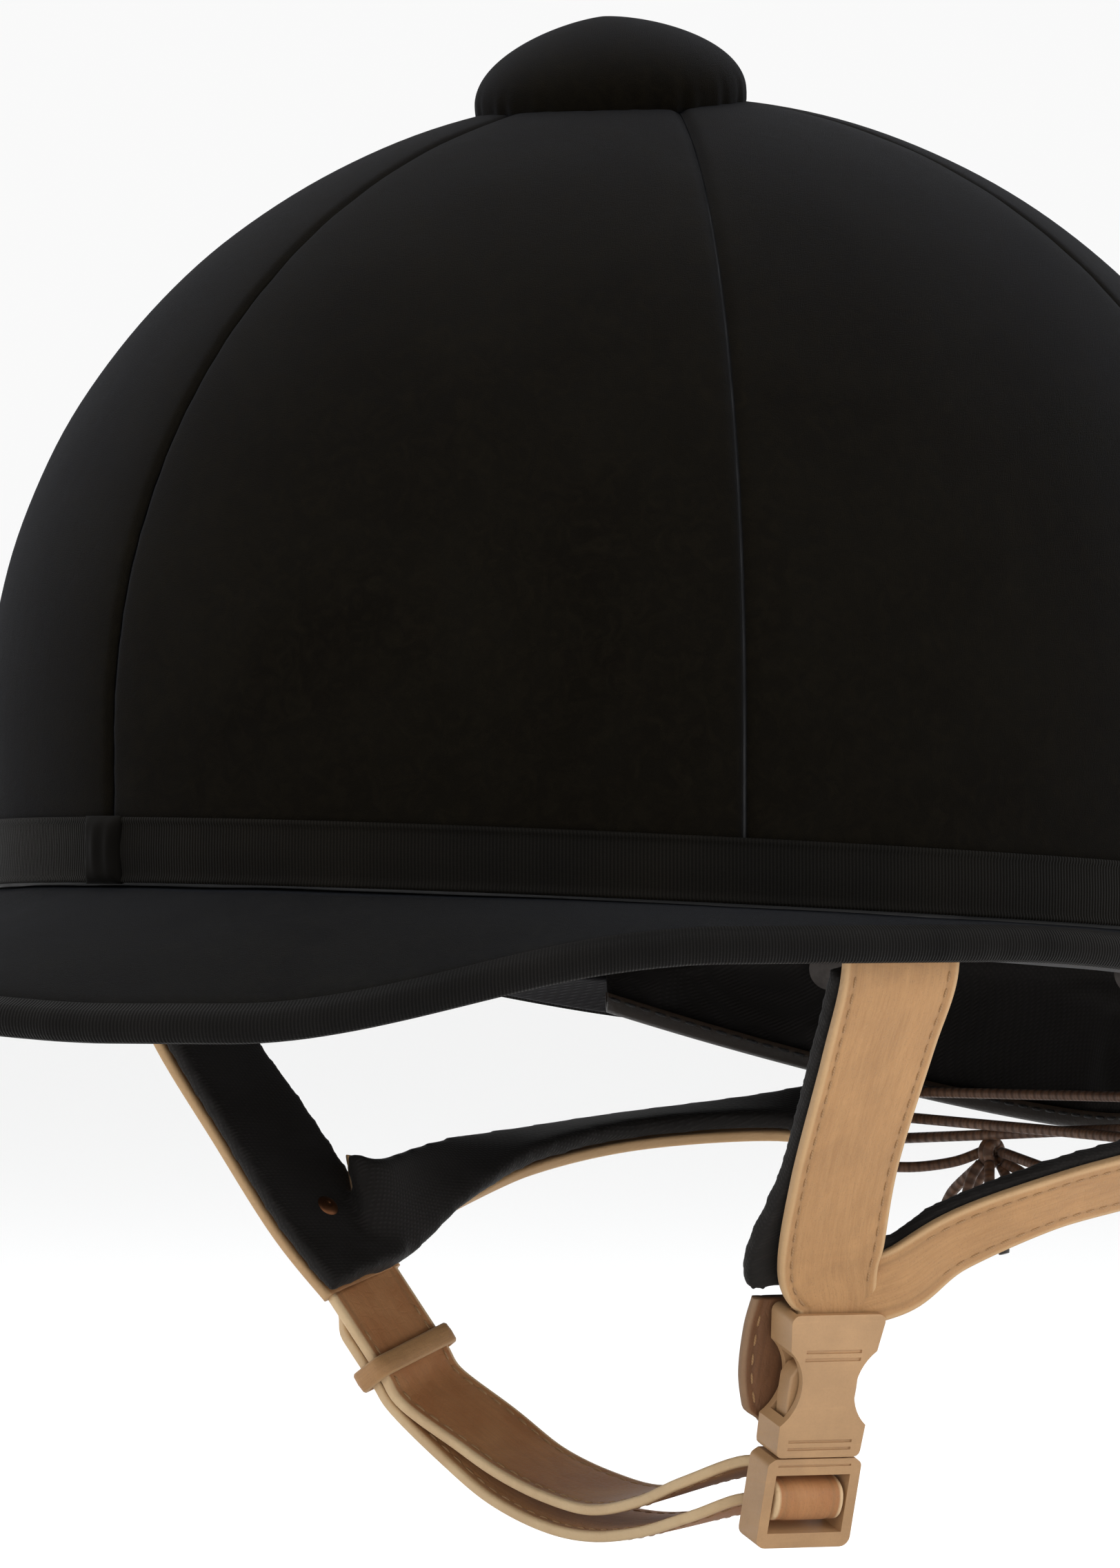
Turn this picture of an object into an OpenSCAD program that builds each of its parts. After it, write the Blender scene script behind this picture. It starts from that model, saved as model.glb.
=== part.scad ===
// Equestrian riding helmet: velvet-covered domed shell with a button and a peak, foam liner,
// and a leather harness that closes under the chin with a side-release buckle.
// Frame: +Z up, -Y to the front, +X to the wearer's left; the origin is the middle of the head
// opening at brow level.

/* [Shell] */
// Outside length of the dome over its cover, front to back
shell_l = 260; // [252:1:264]
// Outside width of the dome over its cover
shell_w = 216; // [212:1:220]
// Height of the dome above its widest level
dome_h = 115; // [110:1:120]
// Height of the widest level above the brow
dome_z = 30; // [28:1:32]
// Thickness of the velvet cover
cover_t = 1.5; // [1.2:0.1:1.8]
// Thickness of the moulded shell
shell_t = 3; // [2.6:0.1:3.4]
// Thickness of the foam liner
liner_t = 18; // [16:1:19]
// Thickness of the comfort pads
pad_t = 5; // [4:0.5:6]

/* [Brim] */
// How far the peak stands out in front of the dome
peak_out = 45; // [38:1:50]
// How far the peak's front edge lies below the side rim
peak_drop = 10; // [8:1:12]
// How far the rolled rim stands out at the sides and back
rim_out = 6; // [5:0.5:7]
// Thickness of the peak's stiffening board
board_t = 2.6; // [2:0.2:3]
// Height of the ribbon round the dome
band_h = 11.5; // [10:0.5:12]

/* [Button] */
// Diameter of the covered button
button_d = 49; // [46:1:52]
// Height of the covered button
button_h = 14.5; // [13:0.5:17]
// How far forward of the dome's axis the button sits
button_forward = 12; // [10:1:14]

/* [Harness] */
// Thickness of the leather
leather_t = 2; // [1.6:0.2:2.2]
// Thickness of the padded strap lining
lining_t = 3.4; // [2.8:0.2:3.6]
// Width of the chin strap
chin_w = 19; // [18:0.5:19.5]
// Diameter of the nape lace
lace_d = 2; // [1.8:0.1:2.1]

/* [Buckle] */
// Width of the buckle
buckle_w = 19; // [19:0.5:20]
// Thickness of the buckle
buckle_t = 8; // [8:0.5:9]
// Lean of the buckle from upright, degrees
buckle_lean = 18; // [15:1:20]

/* [Hidden] */

gap = 0.25;                       // space between neighbouring layers
side_ratio = shell_w / shell_l;   // the dome is a round one narrowed by this
cover_r = shell_l / 2;
shell_r = cover_r - cover_t - gap;
inner_r = shell_r - shell_t;      // inside face of the moulded shell
liner_r = inner_r - gap;
cavity_r = liner_r - liner_t;
pad_r = cavity_r - gap;
rim_z = -11;                      // lower rim of the shell at the side
rim_slope = -0.07;                // the rim falls to the back
band_z = -4;                      // lower edge of the ribbon at the side
band_slope = -0.055;
liner_z = -5;                     // lower face of the foam at the side
liner_slope = -0.035;
below = 60;                       // depth of the cutting blocks
round_fn = 96;
arc_step = 7.5;                   // degrees between points of the dome profile
ring_step = 7.5;                  // degrees between sections of the brim
panel_count = 6;
seam = 0.25;                      // half the opening between cover panels, degrees
z_axis = [0, 0, 1];

leather = [0.76, 0.58, 0.37];
velvet = [0.07, 0.07, 0.08];
lining = [0.12, 0.12, 0.13];
plastic = [0.78, 0.62, 0.42];
cord = [0.33, 0.18, 0.1];

// ---------- vectors, curves and lofts ----------

function unit(v) = v / norm(v);
function across(v, t) = unit(v - (v * t) * t);
function smooth(x) = let (c = min(1, max(0, x))) c * c * (3 - 2 * c);
function mirrored(v) = [-v[0], v[1], v[2]];

// one span of a smooth curve through b and c, at s from 0 to 1
function span_at(a, b, c, d, s) =
  (2 * b + (c - a) * s + (2 * a - 5 * b + 4 * c - d) * s * s + (3 * b - a - 3 * c + d) * s * s * s) / 2;

// a smooth curve through the points p, with n steps a span
function curve(p, n) = let (last = len(p) - 1) [
  for (i = [0 : last - 1], j = [0 : n - 1])
    span_at(p[max(i - 1, 0)], p[i], p[i + 1], p[min(i + 2, last)], j / n),
  p[last]
];

function direction(p, i) = unit(p[min(i + 1, len(p) - 1)] - p[max(i - 1, 0)]);

function six_volumes(points, faces) =
  [for (f = faces) points[f[0]] * cross(points[f[1]], points[f[2]])] * [for (f = faces) 1];

// a solid through sections that all have the same number of points
module loft(sections, ring = false) {
  n = len(sections);
  m = len(sections[0]);
  points = [for (s = sections, p = s) p];
  spans = ring ? n : n - 1;
  sides = [
    for (i = [0 : spans - 1], j = [0 : m - 1])
      let (a = i * m, b = ((i + 1) % n) * m, k = (j + 1) % m)
        each [[a + j, a + k, b + k], [a + j, b + k, b + j]]
  ];
  caps = ring ? [] : [
    for (j = [1 : m - 2]) each [[0, j + 1, j], [(n - 1) * m, (n - 1) * m + j, (n - 1) * m + j + 1]]
  ];
  faces = concat(sides, caps);
  outward = six_volumes(points, faces) < 0;
  polyhedron(points, outward ? faces : [for (f = faces) [f[0], f[2], f[1]]]);
}

// a flat strap; a station is [centre, vector across the strap, width], and low and high are
// its faces, measured from the centre line away from the head
strap_steps = 4;
module strap(stations, low, high, outward, steps = strap_steps) {
  c = curve([for (s = stations) s[0]], steps);
  v = curve([for (s = stations) s[1]], steps);
  w = curve([for (s = stations) s[2]], steps);
  loft([
    for (i = [0 : len(c) - 1])
      let (t = direction(c, i), a = across(v[i], t), n = outward * cross(t, a), h = a * w[i] / 2)
        [c[i] + h + n * high, c[i] - h + n * high, c[i] - h + n * low, c[i] + h + n * low]
  ]);
}

// a round cord through the points p
module tube(p, d, steps = 2, sides = 6) {
  c = curve(p, steps);
  loft([
    for (i = [0 : len(c) - 1])
      let (t = direction(c, i), a = across(abs(t[2]) < 0.9 ? z_axis : [1, 0, 0], t), b = cross(t, a))
        [for (k = [0 : sides - 1]) c[i] + (a * cos(360 * k / sides) + b * sin(360 * k / sides)) * d / 2]
  ]);
}

// ---------- the dome and its layers ----------

function level(z, slope, y) = z + slope * y;

// everything on or above a plane that falls to the back
module above(z, slope) {
  difference() {
    children();
    translate([0, 0, z]) rotate([atan(slope), 0, 0])
      translate([-shell_l, -shell_l, -2 * below]) cube([2 * shell_l, 2 * shell_l, 2 * below]);
  }
}

function dome_arc(r, from, to) = let (n = round(abs(to - from) / arc_step))
  [for (i = [0 : n]) let (a = from + (to - from) * i / n)
    [r * cos(a), dome_z + (dome_h - cover_r + r) * sin(a)]];

// an outline turned all the way round and narrowed like the dome, made as four quarters
module dome_turned() {
  scale([side_ratio, 1, 1]) for (quarter = [0 : 3])
    rotate([0, 0, 90 * quarter]) rotate_extrude(angle = 90, $fn = round_fn) children();
}

// the wall between two radii, from the level z up to the crown
module dome_wall(outer, inner, z) {
  dome_turned() polygon(concat([[inner, z], [outer, z]], dome_arc(outer, 0, 90), dome_arc(inner, 90, 0)));
}

module outer_shell() {
  color("dimgray") difference() {
    above(rim_z, rim_slope) dome_wall(shell_r, inner_r, -below);
    screw_hole();
    strap_rivet_places() rivet_hole();
    nape_rivet_places() rivet_hole();
  }
}

// panel number i, counted from the front towards the wearer's left
module cover_panel(i) {
  start = -90 + 360 / panel_count * i;
  pole_r = 3;
  color(velvet) difference() {
    above(band_z + 1, band_slope) scale([side_ratio, 1, 1])
      rotate([0, 0, start + seam])
        rotate_extrude(angle = 360 / panel_count - 2 * seam, $fn = round_fn)
          polygon(concat(
            [[cover_r - cover_t, -below], [cover_r, -below]],
            dome_arc(cover_r, 0, 90 - 2), [[pole_r, dome_z + dome_h - cover_t]],
            dome_arc(cover_r - cover_t, 90 - 2, 0)));
    screw_hole();
  }
}

ribbon_t = 1;
ribbon_r = cover_r + 0.4;   // inside face of the ribbon, clear of the cover between its points
module hat_band() {
  color("black") loft([
    for (a = [0 : ring_step : 359])
      let (z = level(band_z, band_slope, -ribbon_r * cos(a)))
        [for (c = [[0, 0], [ribbon_t, 0], [ribbon_t, band_h], [0, band_h]])
          [side_ratio * (ribbon_r + c[0]) * sin(a), -(ribbon_r + c[0]) * cos(a), z + c[1]]]
  ], true);
}

// flat tied knot of the ribbon at the front seam
module band_knot() {
  knot_w = 9;
  knot_t = 1.6;
  knot_y = -ribbon_r - ribbon_t - 0.3;
  color("black") translate([0, knot_y, level(band_z, band_slope, knot_y) + band_h / 2])
    translate([-knot_w / 2, -knot_t, -band_h / 2]) cube([knot_w, knot_t, band_h]);
}

// ---------- the brim ----------

// s is the distance out from the dome at the angle a from the front
function brim_xy(a, s) = let (r = shell_r + 0.6)
  [(side_ratio * r + s) * sin(a), -(r + s) * cos(a)];
function turn(a) = a > 180 ? 360 - a : a;
function brim_reach(a) = rim_out + (peak_out - rim_out) * pow(max(0, cos(a)), 2);
rim_lift = 3.5;     // the rim rises this far over the ears
rear_drop = 12;     // and falls this far behind them
tip_lift = 2;       // the peak's middle is a little higher than its sides
function edge_z(a) = let (t = turn(a)) rim_z
  + rim_lift * smooth((t - 24) / 25) * smooth((135 - t) / 40)
  - peak_drop * smooth((57 - t) / 33) + tip_lift * smooth((16 - t) / 16)
  - rear_drop * smooth((t - 80) / 55);
function root_top(a) = level(band_z - 2, band_slope, -cover_r * cos(a));
function root_under(a) = level(rim_z + 0.6, rim_slope, -cover_r * cos(a));
function fall(f) = f - 0.07 * sin(180 * f);
function brim_top(a, f) = root_top(a) + (edge_z(a) + board_t / 2 - root_top(a)) * fall(f);
function brim_under(a, f) = root_under(a) + (edge_z(a) - board_t / 2 - root_under(a)) * fall(f);
function brim_point(a, f, z) = let (p = brim_xy(a, f * brim_reach(a))) [p[0], p[1], z];

module brim_layer(top_add, under_add, only) {
  fs = [0, 0.3, 0.65, 1];
  loft([
    for (a = [0 : ring_step : 359])
      let (
        top = [for (f = fs)
          brim_point(a, f, (only == "under" ? brim_under(a, f) : brim_top(a, f)) + top_add)],
        low = [for (f = fs)
          brim_point(a, f, (only == "top" ? brim_top(a, f) : brim_under(a, f)) + under_add)]
      )
        concat(top, [for (i = [3 : -1 : 0]) low[i]])
  ], true);
}

module peak_board() { color("dimgray") brim_layer(0, 0, "both"); }
brim_gap = 0.6;     // between the board and its covers
brim_cover_t = 0.9;
module brim_cover_top() { color(velvet) brim_layer(brim_gap + brim_cover_t, brim_gap, "top"); }
module brim_cover_under() { color(lining) brim_layer(-brim_gap, -brim_gap - brim_cover_t, "under"); }

module rim_binding() {
  bead_h = board_t + 3;
  bead_w = 2.4;
  sides = 8;
  color("black") loft([
    for (a = [0 : ring_step : 359])
      let (p = brim_xy(a, brim_reach(a) + 0.3 + bead_w / 2))
        [for (k = [0 : sides - 1]) let (q = 360 * (k + 0.5) / sides, w = bead_w * cos(q) / 1.85)
          [p[0] + w * sin(a), p[1] - w * cos(a), edge_z(a) + bead_h * sin(q) / 1.85]]
  ], true);
}

// ---------- the button ----------

button_tip = 6;   // the button leans forward with the dome, degrees
module at_button() {
  seat_z = dome_z + dome_h * sqrt(1 - pow(button_forward / cover_r, 2));
  translate([0, -button_forward, seat_z]) rotate([button_tip, 0, 0]) children();
}

// a domed body of radius r and height h, carried down by skirt to meet the dome
module button_body(r, h, skirt) {
  rotate_extrude($fn = round_fn) polygon(concat(
    [[0, -skirt], [r, -skirt]],
    [for (a = [0 : 10 : 90]) [r * pow(cos(a), 1.3), h * sin(a)]]));
}

// the space of the dome itself, with a little added
module dome_space(add) {
  dome_turned()
    polygon(concat([[0, 0], [cover_r + add, 0]],
      [for (a = [0 : arc_step : 90]) [(cover_r + add) * cos(a), dome_z + (dome_h + add) * sin(a)]]));
}

button_skirt = 5;
screw_r = 2;
screw_length = 20;
module screw_hole() {
  at_button() translate([0, 0, -14]) cylinder(r = screw_r + 0.3, h = 20, $fn = 32);
}

module button_core() {
  wall = 1.3;
  color("tan") difference() {
    at_button() button_body(button_d / 2 - wall, button_h - wall, button_skirt);
    dome_space(0.3);
    at_button() translate([0, 0, -8]) cylinder(r = screw_r + 0.05, h = 20, $fn = 32);
  }
}

module button_cover() {
  color(velvet) difference() {
    at_button() button_body(button_d / 2, button_h, button_skirt);
    at_button() button_body(button_d / 2 - 1.2, button_h - 1.2, button_skirt + 1);
    dome_space(0.3);
  }
}

washer_z = -shell_t - cover_t - gap - 1.6;
module button_washer() {
  color("silver") at_button() translate([0, 0, washer_z]) difference() {
    cylinder(r = 6, h = 1, $fn = 48);
    translate([0, 0, -1]) cylinder(r = screw_r + 0.3, h = 3, $fn = 32);
  }
}

module button_screw() {
  head_r = 4;
  head_h = 2.4;
  color("silver") at_button() {
    translate([0, 0, washer_z - 0.05 - head_h]) cylinder(r = head_r, h = head_h, $fn = 48);
    translate([0, 0, washer_z - 0.05 - head_h]) cylinder(r = screw_r, h = screw_length, $fn = 32);
  }
}

// ---------- inside the shell ----------

module strap_pocket(side) {
  pocket = [5.8, 26, 34];
  at_shell(strap_y, side) translate([-pocket[0], -pocket[1] / 2, -pocket[2] / 2 + 4]) cube(pocket);
}

module foam_liner() {
  screw_room_r = 8;
  color("whitesmoke") difference() {
    above(liner_z, liner_slope) dome_wall(liner_r, cavity_r, -below);
    at_button() translate([0, 0, washer_z - 4]) cylinder(r = screw_room_r, h = 8, $fn = 48);
    strap_pocket(1);
    strap_pocket(-1);
  }
}

module crown_pad() {
  color(lining) dome_turned()
    polygon(concat(dome_arc(pad_r, 45, 90), dome_arc(pad_r - pad_t, 90, 45)));
}

// a pad round part of the head opening, centred on the angle middle from the front
module head_pad(middle, width, low, high) {
  color(lining) above(low, liner_slope) scale([side_ratio, 1, 1])
    rotate([0, 0, middle - width / 2]) rotate_extrude(angle = width, $fn = round_fn)
      polygon([[pad_r - pad_t, -below / 2], [pad_r, -below / 2], [pad_r, high],
        [pad_r - pad_t + 1.5, high], [pad_r - pad_t, high - 1.5]]);
}
module brow_pad() { head_pad(-90, 190, liner_z + 0.5, 28); }
module rear_head_pad() { head_pad(90, 150, liner_z + 0.5, 22); }

// ---------- harness ----------

strap_y = -33;      // the front straps leave the shell here
strap_tuck = inner_r - gap - leather_t / 2 - 1.2;
function shell_x(r, y) = side_ratio * sqrt(r * r - y * y);

// a frame on the inside face of the shell at y: X outwards, Y along the shell, Z up
module at_shell(y, side) {
  p = [shell_x(inner_r, y), y];
  lean = atan(-side_ratio * side_ratio * y / p[0]);
  mirror([side < 0 ? 1 : 0, 0, 0]) translate([p[0], p[1], 0]) rotate([0, 0, -lean]) children();
}

tuck_x = shell_x(strap_tuck, strap_y);
tuck_across = [0.23, 1, 0];
buckle_at = [54.7, -8.8, -72.6];
buckle_turn = 14;     // the buckle's face looks a little forward, degrees
buckle_across = [sin(buckle_turn), cos(buckle_turn), 0];
module at_buckle() { translate(buckle_at) rotate([0, buckle_lean, -buckle_turn]) children(); }
function on_buckle(p) = let (out = p[0] * cos(buckle_lean) + p[2] * sin(buckle_lean))
  buckle_at + [out * cos(buckle_turn) + p[1] * sin(buckle_turn),
               p[1] * cos(buckle_turn) - out * sin(buckle_turn),
               p[2] * cos(buckle_lean) - p[0] * sin(buckle_lean)];
slot_fit = buckle_w - 3.4;       // width of the strap where it enters the buckle
left_front = [
  [[tuck_x, strap_y, 12], tuck_across, 23],
  [[tuck_x, strap_y, 0], tuck_across, 23],
  [[tuck_x, strap_y, -13], tuck_across, 23],
  [[88, -28.5, -27], [0.18, 1, 0.05], 22.5],
  [[71, -20.5, -48], [0.12, 1, 0.05], 22],
  [[60.4, -14, -63.6], [0.2, 1, 0], 20.5],
  [on_buckle([1.3, 0, 2]), buckle_across, slot_fit],
  [on_buckle([1.3, 0, -4.6]), buckle_across, slot_fit]
];
right_front = [
  [[-tuck_x, strap_y, 12], mirrored(tuck_across), 23],
  [[-tuck_x, strap_y, 0], mirrored(tuck_across), 23],
  [[-tuck_x, strap_y, -13], mirrored(tuck_across), 23],
  [[-91.5, -33, -26], [-0.15, 1, 0], 22],
  [[-78.5, -28.5, -44], [-0.1, 1, 0.1], 22],
  [[-66.5, -25, -60], [-0.15, 1, 0.22], 22],
  [[-57.5, -21, -71], [-0.156, 0.947, 0.28], 21]
];
left_rear = [
  [[62, 1.6, -67.6], [0.1, -0.3, 1], 12.5],
  [[66, 12, -60.8], [0.35, 0, 1], 12],
  [[71, 32, -54], [0.5, 0, 1], 11.5],
  [[70, 60, -49], [0.5, 0.2, 1], 12],
  [[58, 85, -44], [0.3, 0.3, 1], 12],
  [[41.5, 98.5, -42], [0, 0.1, 1], 15]
];
right_rear = [
  [[-63, -12, -58], [-0.1, -0.3, 1], 18],
  [[-67.5, 5, -53.8], [-0.7, 0, 1], 12.5],
  [[-71, 27, -50.3], [-1, 0, 0.3], 11],
  [[-71, 56, -46.8], [-1, 0.25, 0.1], 11],
  [[-59, 83, -44], [-0.8, 0.6, 0.35], 12],
  [[-41.5, 98.5, -42], [0, 0.1, 1], 15]
];

rear_steps = 16;    // the rear straps twist, so they are made of shorter pieces
half_t = leather_t / 2;
lining_high = -half_t - 0.45;
lining_low = lining_high - lining_t;
function lower(stations, first, last) = [for (i = [first : last]) stations[i]];

module front_strap_left() { color(leather) strap(left_front, -half_t, half_t, 1); }
module front_strap_right() { color(leather) strap(right_front, -half_t, half_t, -1); }
module rear_strap_left() { color(leather) strap(left_rear, -half_t, half_t, 1, rear_steps); }
module rear_strap_right() { color(leather) strap(right_rear, -half_t, half_t, -1, rear_steps); }
left_tongue = [[[59.7, -16.5, -63], [0.2, 1, 0], 25], [[56.5, -15, -69], [0.2, 1, 0], 22]];
module front_lining_left() {
  color(lining) strap(concat(lower(left_front, 2, 4), left_tongue), lining_low, lining_high, 1);
}
module front_lining_right() { color(lining) strap(lower(right_front, 2, 6), lining_low, lining_high, -1); }
module rear_lining_left() { color(lining) strap(left_rear, lining_low, lining_high, 1, rear_steps); }
module rear_lining_right() { color(lining) strap(right_rear, lining_low, lining_high, -1, rear_steps); }

// leather tab that keeps the buckle off the cheek
module buckle_guard() {
  color(leather) strap([
    [on_buckle([-5.9, -2.6, 0]), buckle_across, 20],
    [on_buckle([-6.3, -2.6, -6]), buckle_across, 21],
    [on_buckle([-6.3, -2.6, -15]), buckle_across, 20],
    [on_buckle([-5.9, -2.6, -23.5]), buckle_across, 15]
  ], -0.9, 0.9, 1, 3);
}

// ---------- rivets ----------

rivet_r = 2;
rivet_z = 2;
module strap_rivet_places() {
  for (side = [1, -1], step = [-6, 6])
    at_shell(strap_y, side) translate([0, step, rivet_z]) rotate([0, 90, 0]) children();
}
module rivet_hole() {
  translate([0, 0, -10]) cylinder(r = rivet_r + 0.15, h = 20, $fn = 32);
}
module strap_rivets() {
  head_h = 0.7;
  color("silver") strap_rivet_places() {
    translate([0, 0, -5.2]) cylinder(r = rivet_r, h = 5.2 + shell_t - 0.6, $fn = 32);
    translate([0, 0, -5.2]) cylinder(r = 4, h = head_h, $fn = 48);
  }
}
module strap_washers() {
  color("silver") strap_rivet_places() translate([0, 0, -4.4]) difference() {
    cylinder(r = 4.5, h = 0.5, $fn = 48);
    translate([0, 0, -1]) cylinder(r = rivet_r + 0.1, h = 3, $fn = 32);
  }
}

// a frame on a strap at point i of its curve: X along it, Y across it, Z away from the head
module on_strap(stations, i, outward) {
  c = curve([for (s = stations) s[0]], strap_steps);
  t = direction(c, i);
  a = across(curve([for (s = stations) s[1]], strap_steps)[i], t);
  n = outward * cross(t, a);
  b = outward * a;
  multmatrix([[t[0], b[0], n[0], c[i][0]], [t[1], b[1], n[1], c[i][1]], [t[2], b[2], n[2], c[i][2]],
              [0, 0, 0, 1]]) children();
}

// small rivet where the right-hand front and rear straps join
module join_rivets() {
  color("saddlebrown") on_strap(right_front, 20, -1) join_rivet();
}
module join_rivet() {
  shank_r = 1.2;
  head_r = 2.2;
  head_h = 0.8;
  inside_z = lining_low - 0.05 - head_h;
  translate([0, 0, inside_z]) cylinder(r = shank_r, h = half_t + 0.4 - inside_z, $fn = 24);
  translate([0, 0, half_t + 0.05]) cylinder(r = head_r, h = head_h, $fn = 32);
  translate([0, 0, inside_z]) cylinder(r = head_r, h = head_h, $fn = 32);
}

// ---------- nape ----------

nape_half = 58;     // the panel reaches this far each side of the back, degrees
nape_t = 4;
function nape_low(a) = -43 + 24 * pow(abs(a) / 61, 1.6);
function nape_r(f) = inner_r - 1.1 - nape_t / 2 - 5 * smooth(f);
function nape_point(a, r, z) = [side_ratio * r * sin(a), r * cos(a), z];
nape_top = -11.2;

module nape_panel() {
  fs = [0, 0.25, 0.5, 0.75, 1];
  color(lining) loft([
    for (a = [-nape_half : 5.8 : nape_half + 0.1])
      let (drop = nape_low(a) - nape_top)
        concat(
          [for (f = fs) nape_point(a, nape_r(f) + nape_t / 2, nape_top + drop * f)],
          [for (i = [4 : -1 : 0]) nape_point(a, nape_r(fs[i]) - nape_t / 2, nape_top + drop * fs[i])])
  ]);
}

module nape_binding() {
  fold_t = 1.2;
  lip = 0.6;
  color(leather) loft([
    for (a = [-nape_half : 5.8 : nape_half + 0.1])
      let (r = nape_r(1), z = nape_low(a) - 0.2, h = nape_t / 2 + lip)
        [nape_point(a, r + h, z), nape_point(a, r - h, z),
         nape_point(a, r - h, z - fold_t), nape_point(a, r + h, z - fold_t)]
  ]);
}

module nape_rivet_places() {
  for (a = [-36, 0, 36])
    let (p = nape_point(a, inner_r, -14.5))
      translate(p) rotate([0, 0, 90 - a]) rotate([0, 90, 0]) children();
}
module nape_rivets() {
  color("silver") nape_rivet_places() {
    translate([0, 0, -6.4]) cylinder(r = rivet_r, h = 6.4 + shell_t - 0.6, $fn = 32);
    translate([0, 0, -6.4]) cylinder(r = 4, h = 0.7, $fn = 48);
  }
}

// ---------- lace ----------

eyelet_z = [-37.5, -42, -46.5];
tab_at = [45, 95.9, 0];
tab_normal = [0.6, 0.8, 0];
module lace_eyelets() {
  color("black") for (side = [0, 1], z = eyelet_z)
    mirror([side, 0, 0])
      translate(tab_at + tab_normal * (half_t + 0.15) + [0, 0, z]) rotate([0, 90, atan(0.8 / 0.6)])
        difference() {
          cylinder(r = 2.1, h = 0.7, $fn = 32);
          translate([0, 0, -1]) cylinder(r = 1.25, h = 3, $fn = 24);
        }
}

// the lace outside and inside an eyelet at height z, on the left or, with side -1, the right
function outside(side, z) = [side * (tab_at[0] + 1.6), tab_at[1] + 3.2, z];
function inside(side, z) = [side * (tab_at[0] - 4), tab_at[1] - 5.6, z];
knot_at = [-22, 104.5, -48.5];
lace_route = [
  knot_at + [2.6, 0, 0], [8, 102.5, -54], [28, 97, -54.5], inside(1, -51), inside(1, eyelet_z[2]),
  outside(1, eyelet_z[2]), [22, 100.5, -45.3], [0, 101, -44.2], [-22, 100.5, -43.2],
  outside(-1, eyelet_z[1]), inside(-1, eyelet_z[1]), inside(-1, eyelet_z[0]),
  outside(-1, eyelet_z[0]), [-22, 101, -37.5], [0, 101.5, -37.5], [22, 101, -37.5],
  outside(1, eyelet_z[0]), inside(1, eyelet_z[0]), inside(1, eyelet_z[1]), outside(1, eyelet_z[1]),
  [22, 103, -43.2], [0, 104, -44.2], [-22, 103, -45.3],
  outside(-1, eyelet_z[2]), inside(-1, eyelet_z[2]), inside(-1, -50.5), [-36, 96, -51.5],
  [-29, 101, -50.5], knot_at - [2.6, 0, 0]
];
module nape_lace() { color(cord) tube(lace_route, lace_d, 2); }

module lace_knot() { color(cord) translate(knot_at) sphere(d = 4.6, $fn = 32); }

loop_route = [
  [1.9, 0.5, -2], [6, 1.5, -4], [12, 2, -8], [14, 2, -12], [9, 1.5, -11], [4, 0.6, -6.5], [1, 0.5, -2.6]
];
tail_route = [[0.2, -1.7, -2], [1.5, -3, -5], [2.4, -3.5, -9], [3.5, -3, -13]];
tip_length = 6;
module lace_bow() {
  color(cord) translate(knot_at) for (side = [0, 1]) mirror([side, 0, 0]) {
    translate([side, 0, 0]) tube(loop_route, lace_d, 3);
    tube([for (p = tail_route) p + [1, 0, 0]], lace_d, 3);
  }
}
module lace_tips() {
  color("black") translate(knot_at) for (side = [0, 1]) mirror([side, 0, 0])
    translate(tail_route[3] + [1.1, 0.05, -0.3]) rotate([4, 165, 0]) 
      cylinder(d = lace_d + 0.4, h = tip_length, $fn = 24);
}

// ---------- buckle ----------

socket_h = 27;        // height of the socket
frame_h = 16.3;       // height of the strap frame below it
mouth_w = 14.8;       // the socket's mouth
mouth_t = 5;
half_w = buckle_w / 2;
waist_r = 9;

// an outline in the plane of the buckle's face, given a thickness
module plate(t) { rotate([90, 0, 90]) translate([0, 0, -t / 2]) linear_extrude(t) children(); }

module buckle_socket() {
  slot_w = buckle_w - 2.6;
  slot_t = 3.2;
  color(plastic) at_buckle() difference() {
    plate(buckle_t) difference() {
      polygon([[-half_w, 0], [half_w, 0], [half_w - 0.6, -7], [half_w - 1, -8], [half_w - 1, -socket_h],
               [1 - half_w, -socket_h], [1 - half_w, -8], [0.6 - half_w, -7]]);
      for (side = [-1, 1])
        translate([side * (half_w + 4.9), -14]) circle(r = waist_r, $fn = 64);
    }
    translate([-mouth_t / 2, -mouth_w / 2, -socket_h - 1]) cube([mouth_t, mouth_w, socket_h - 7.5]);
    translate([-0.3, -slot_w / 2, -5.6]) cube([slot_t, slot_w, 8]);
    translate([-buckle_t, -slot_w / 2, -5.6]) cube([buckle_t, slot_w, 2.8]);
  }
}

bar_z = -36;
bar_r = 1.4;
module buckle_frame() {
  window_h = 11;
  tongue_w = 3.4;
  part_gap = 0.4;
  stem_t = 4.2;
  color(plastic) at_buckle() {
    difference() {
      plate(buckle_t - 1) polygon([
        [1 - half_w, -socket_h - part_gap], [half_w - 1, -socket_h - part_gap],
        [half_w, -socket_h - 6], [half_w, -socket_h - frame_h + 2], [half_w - 2, -socket_h - frame_h - 1],
        [2 - half_w, -socket_h - frame_h - 1], [-half_w, -socket_h - frame_h + 2], [-half_w, -socket_h - 6]]);
      translate([-buckle_t, 2 - half_w, bar_z - window_h / 2]) cube([2 * buckle_t, buckle_w - 4, window_h]);
    }
    translate([-stem_t / 2, -tongue_w / 2, -socket_h - 1]) cube([stem_t, tongue_w, 16.4]);
    translate([0, 1.2 - half_w, bar_z]) rotate([-90, 0, 0])
      cylinder(r = bar_r, h = buckle_w - 2.4, $fn = 32);
  }
}

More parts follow.
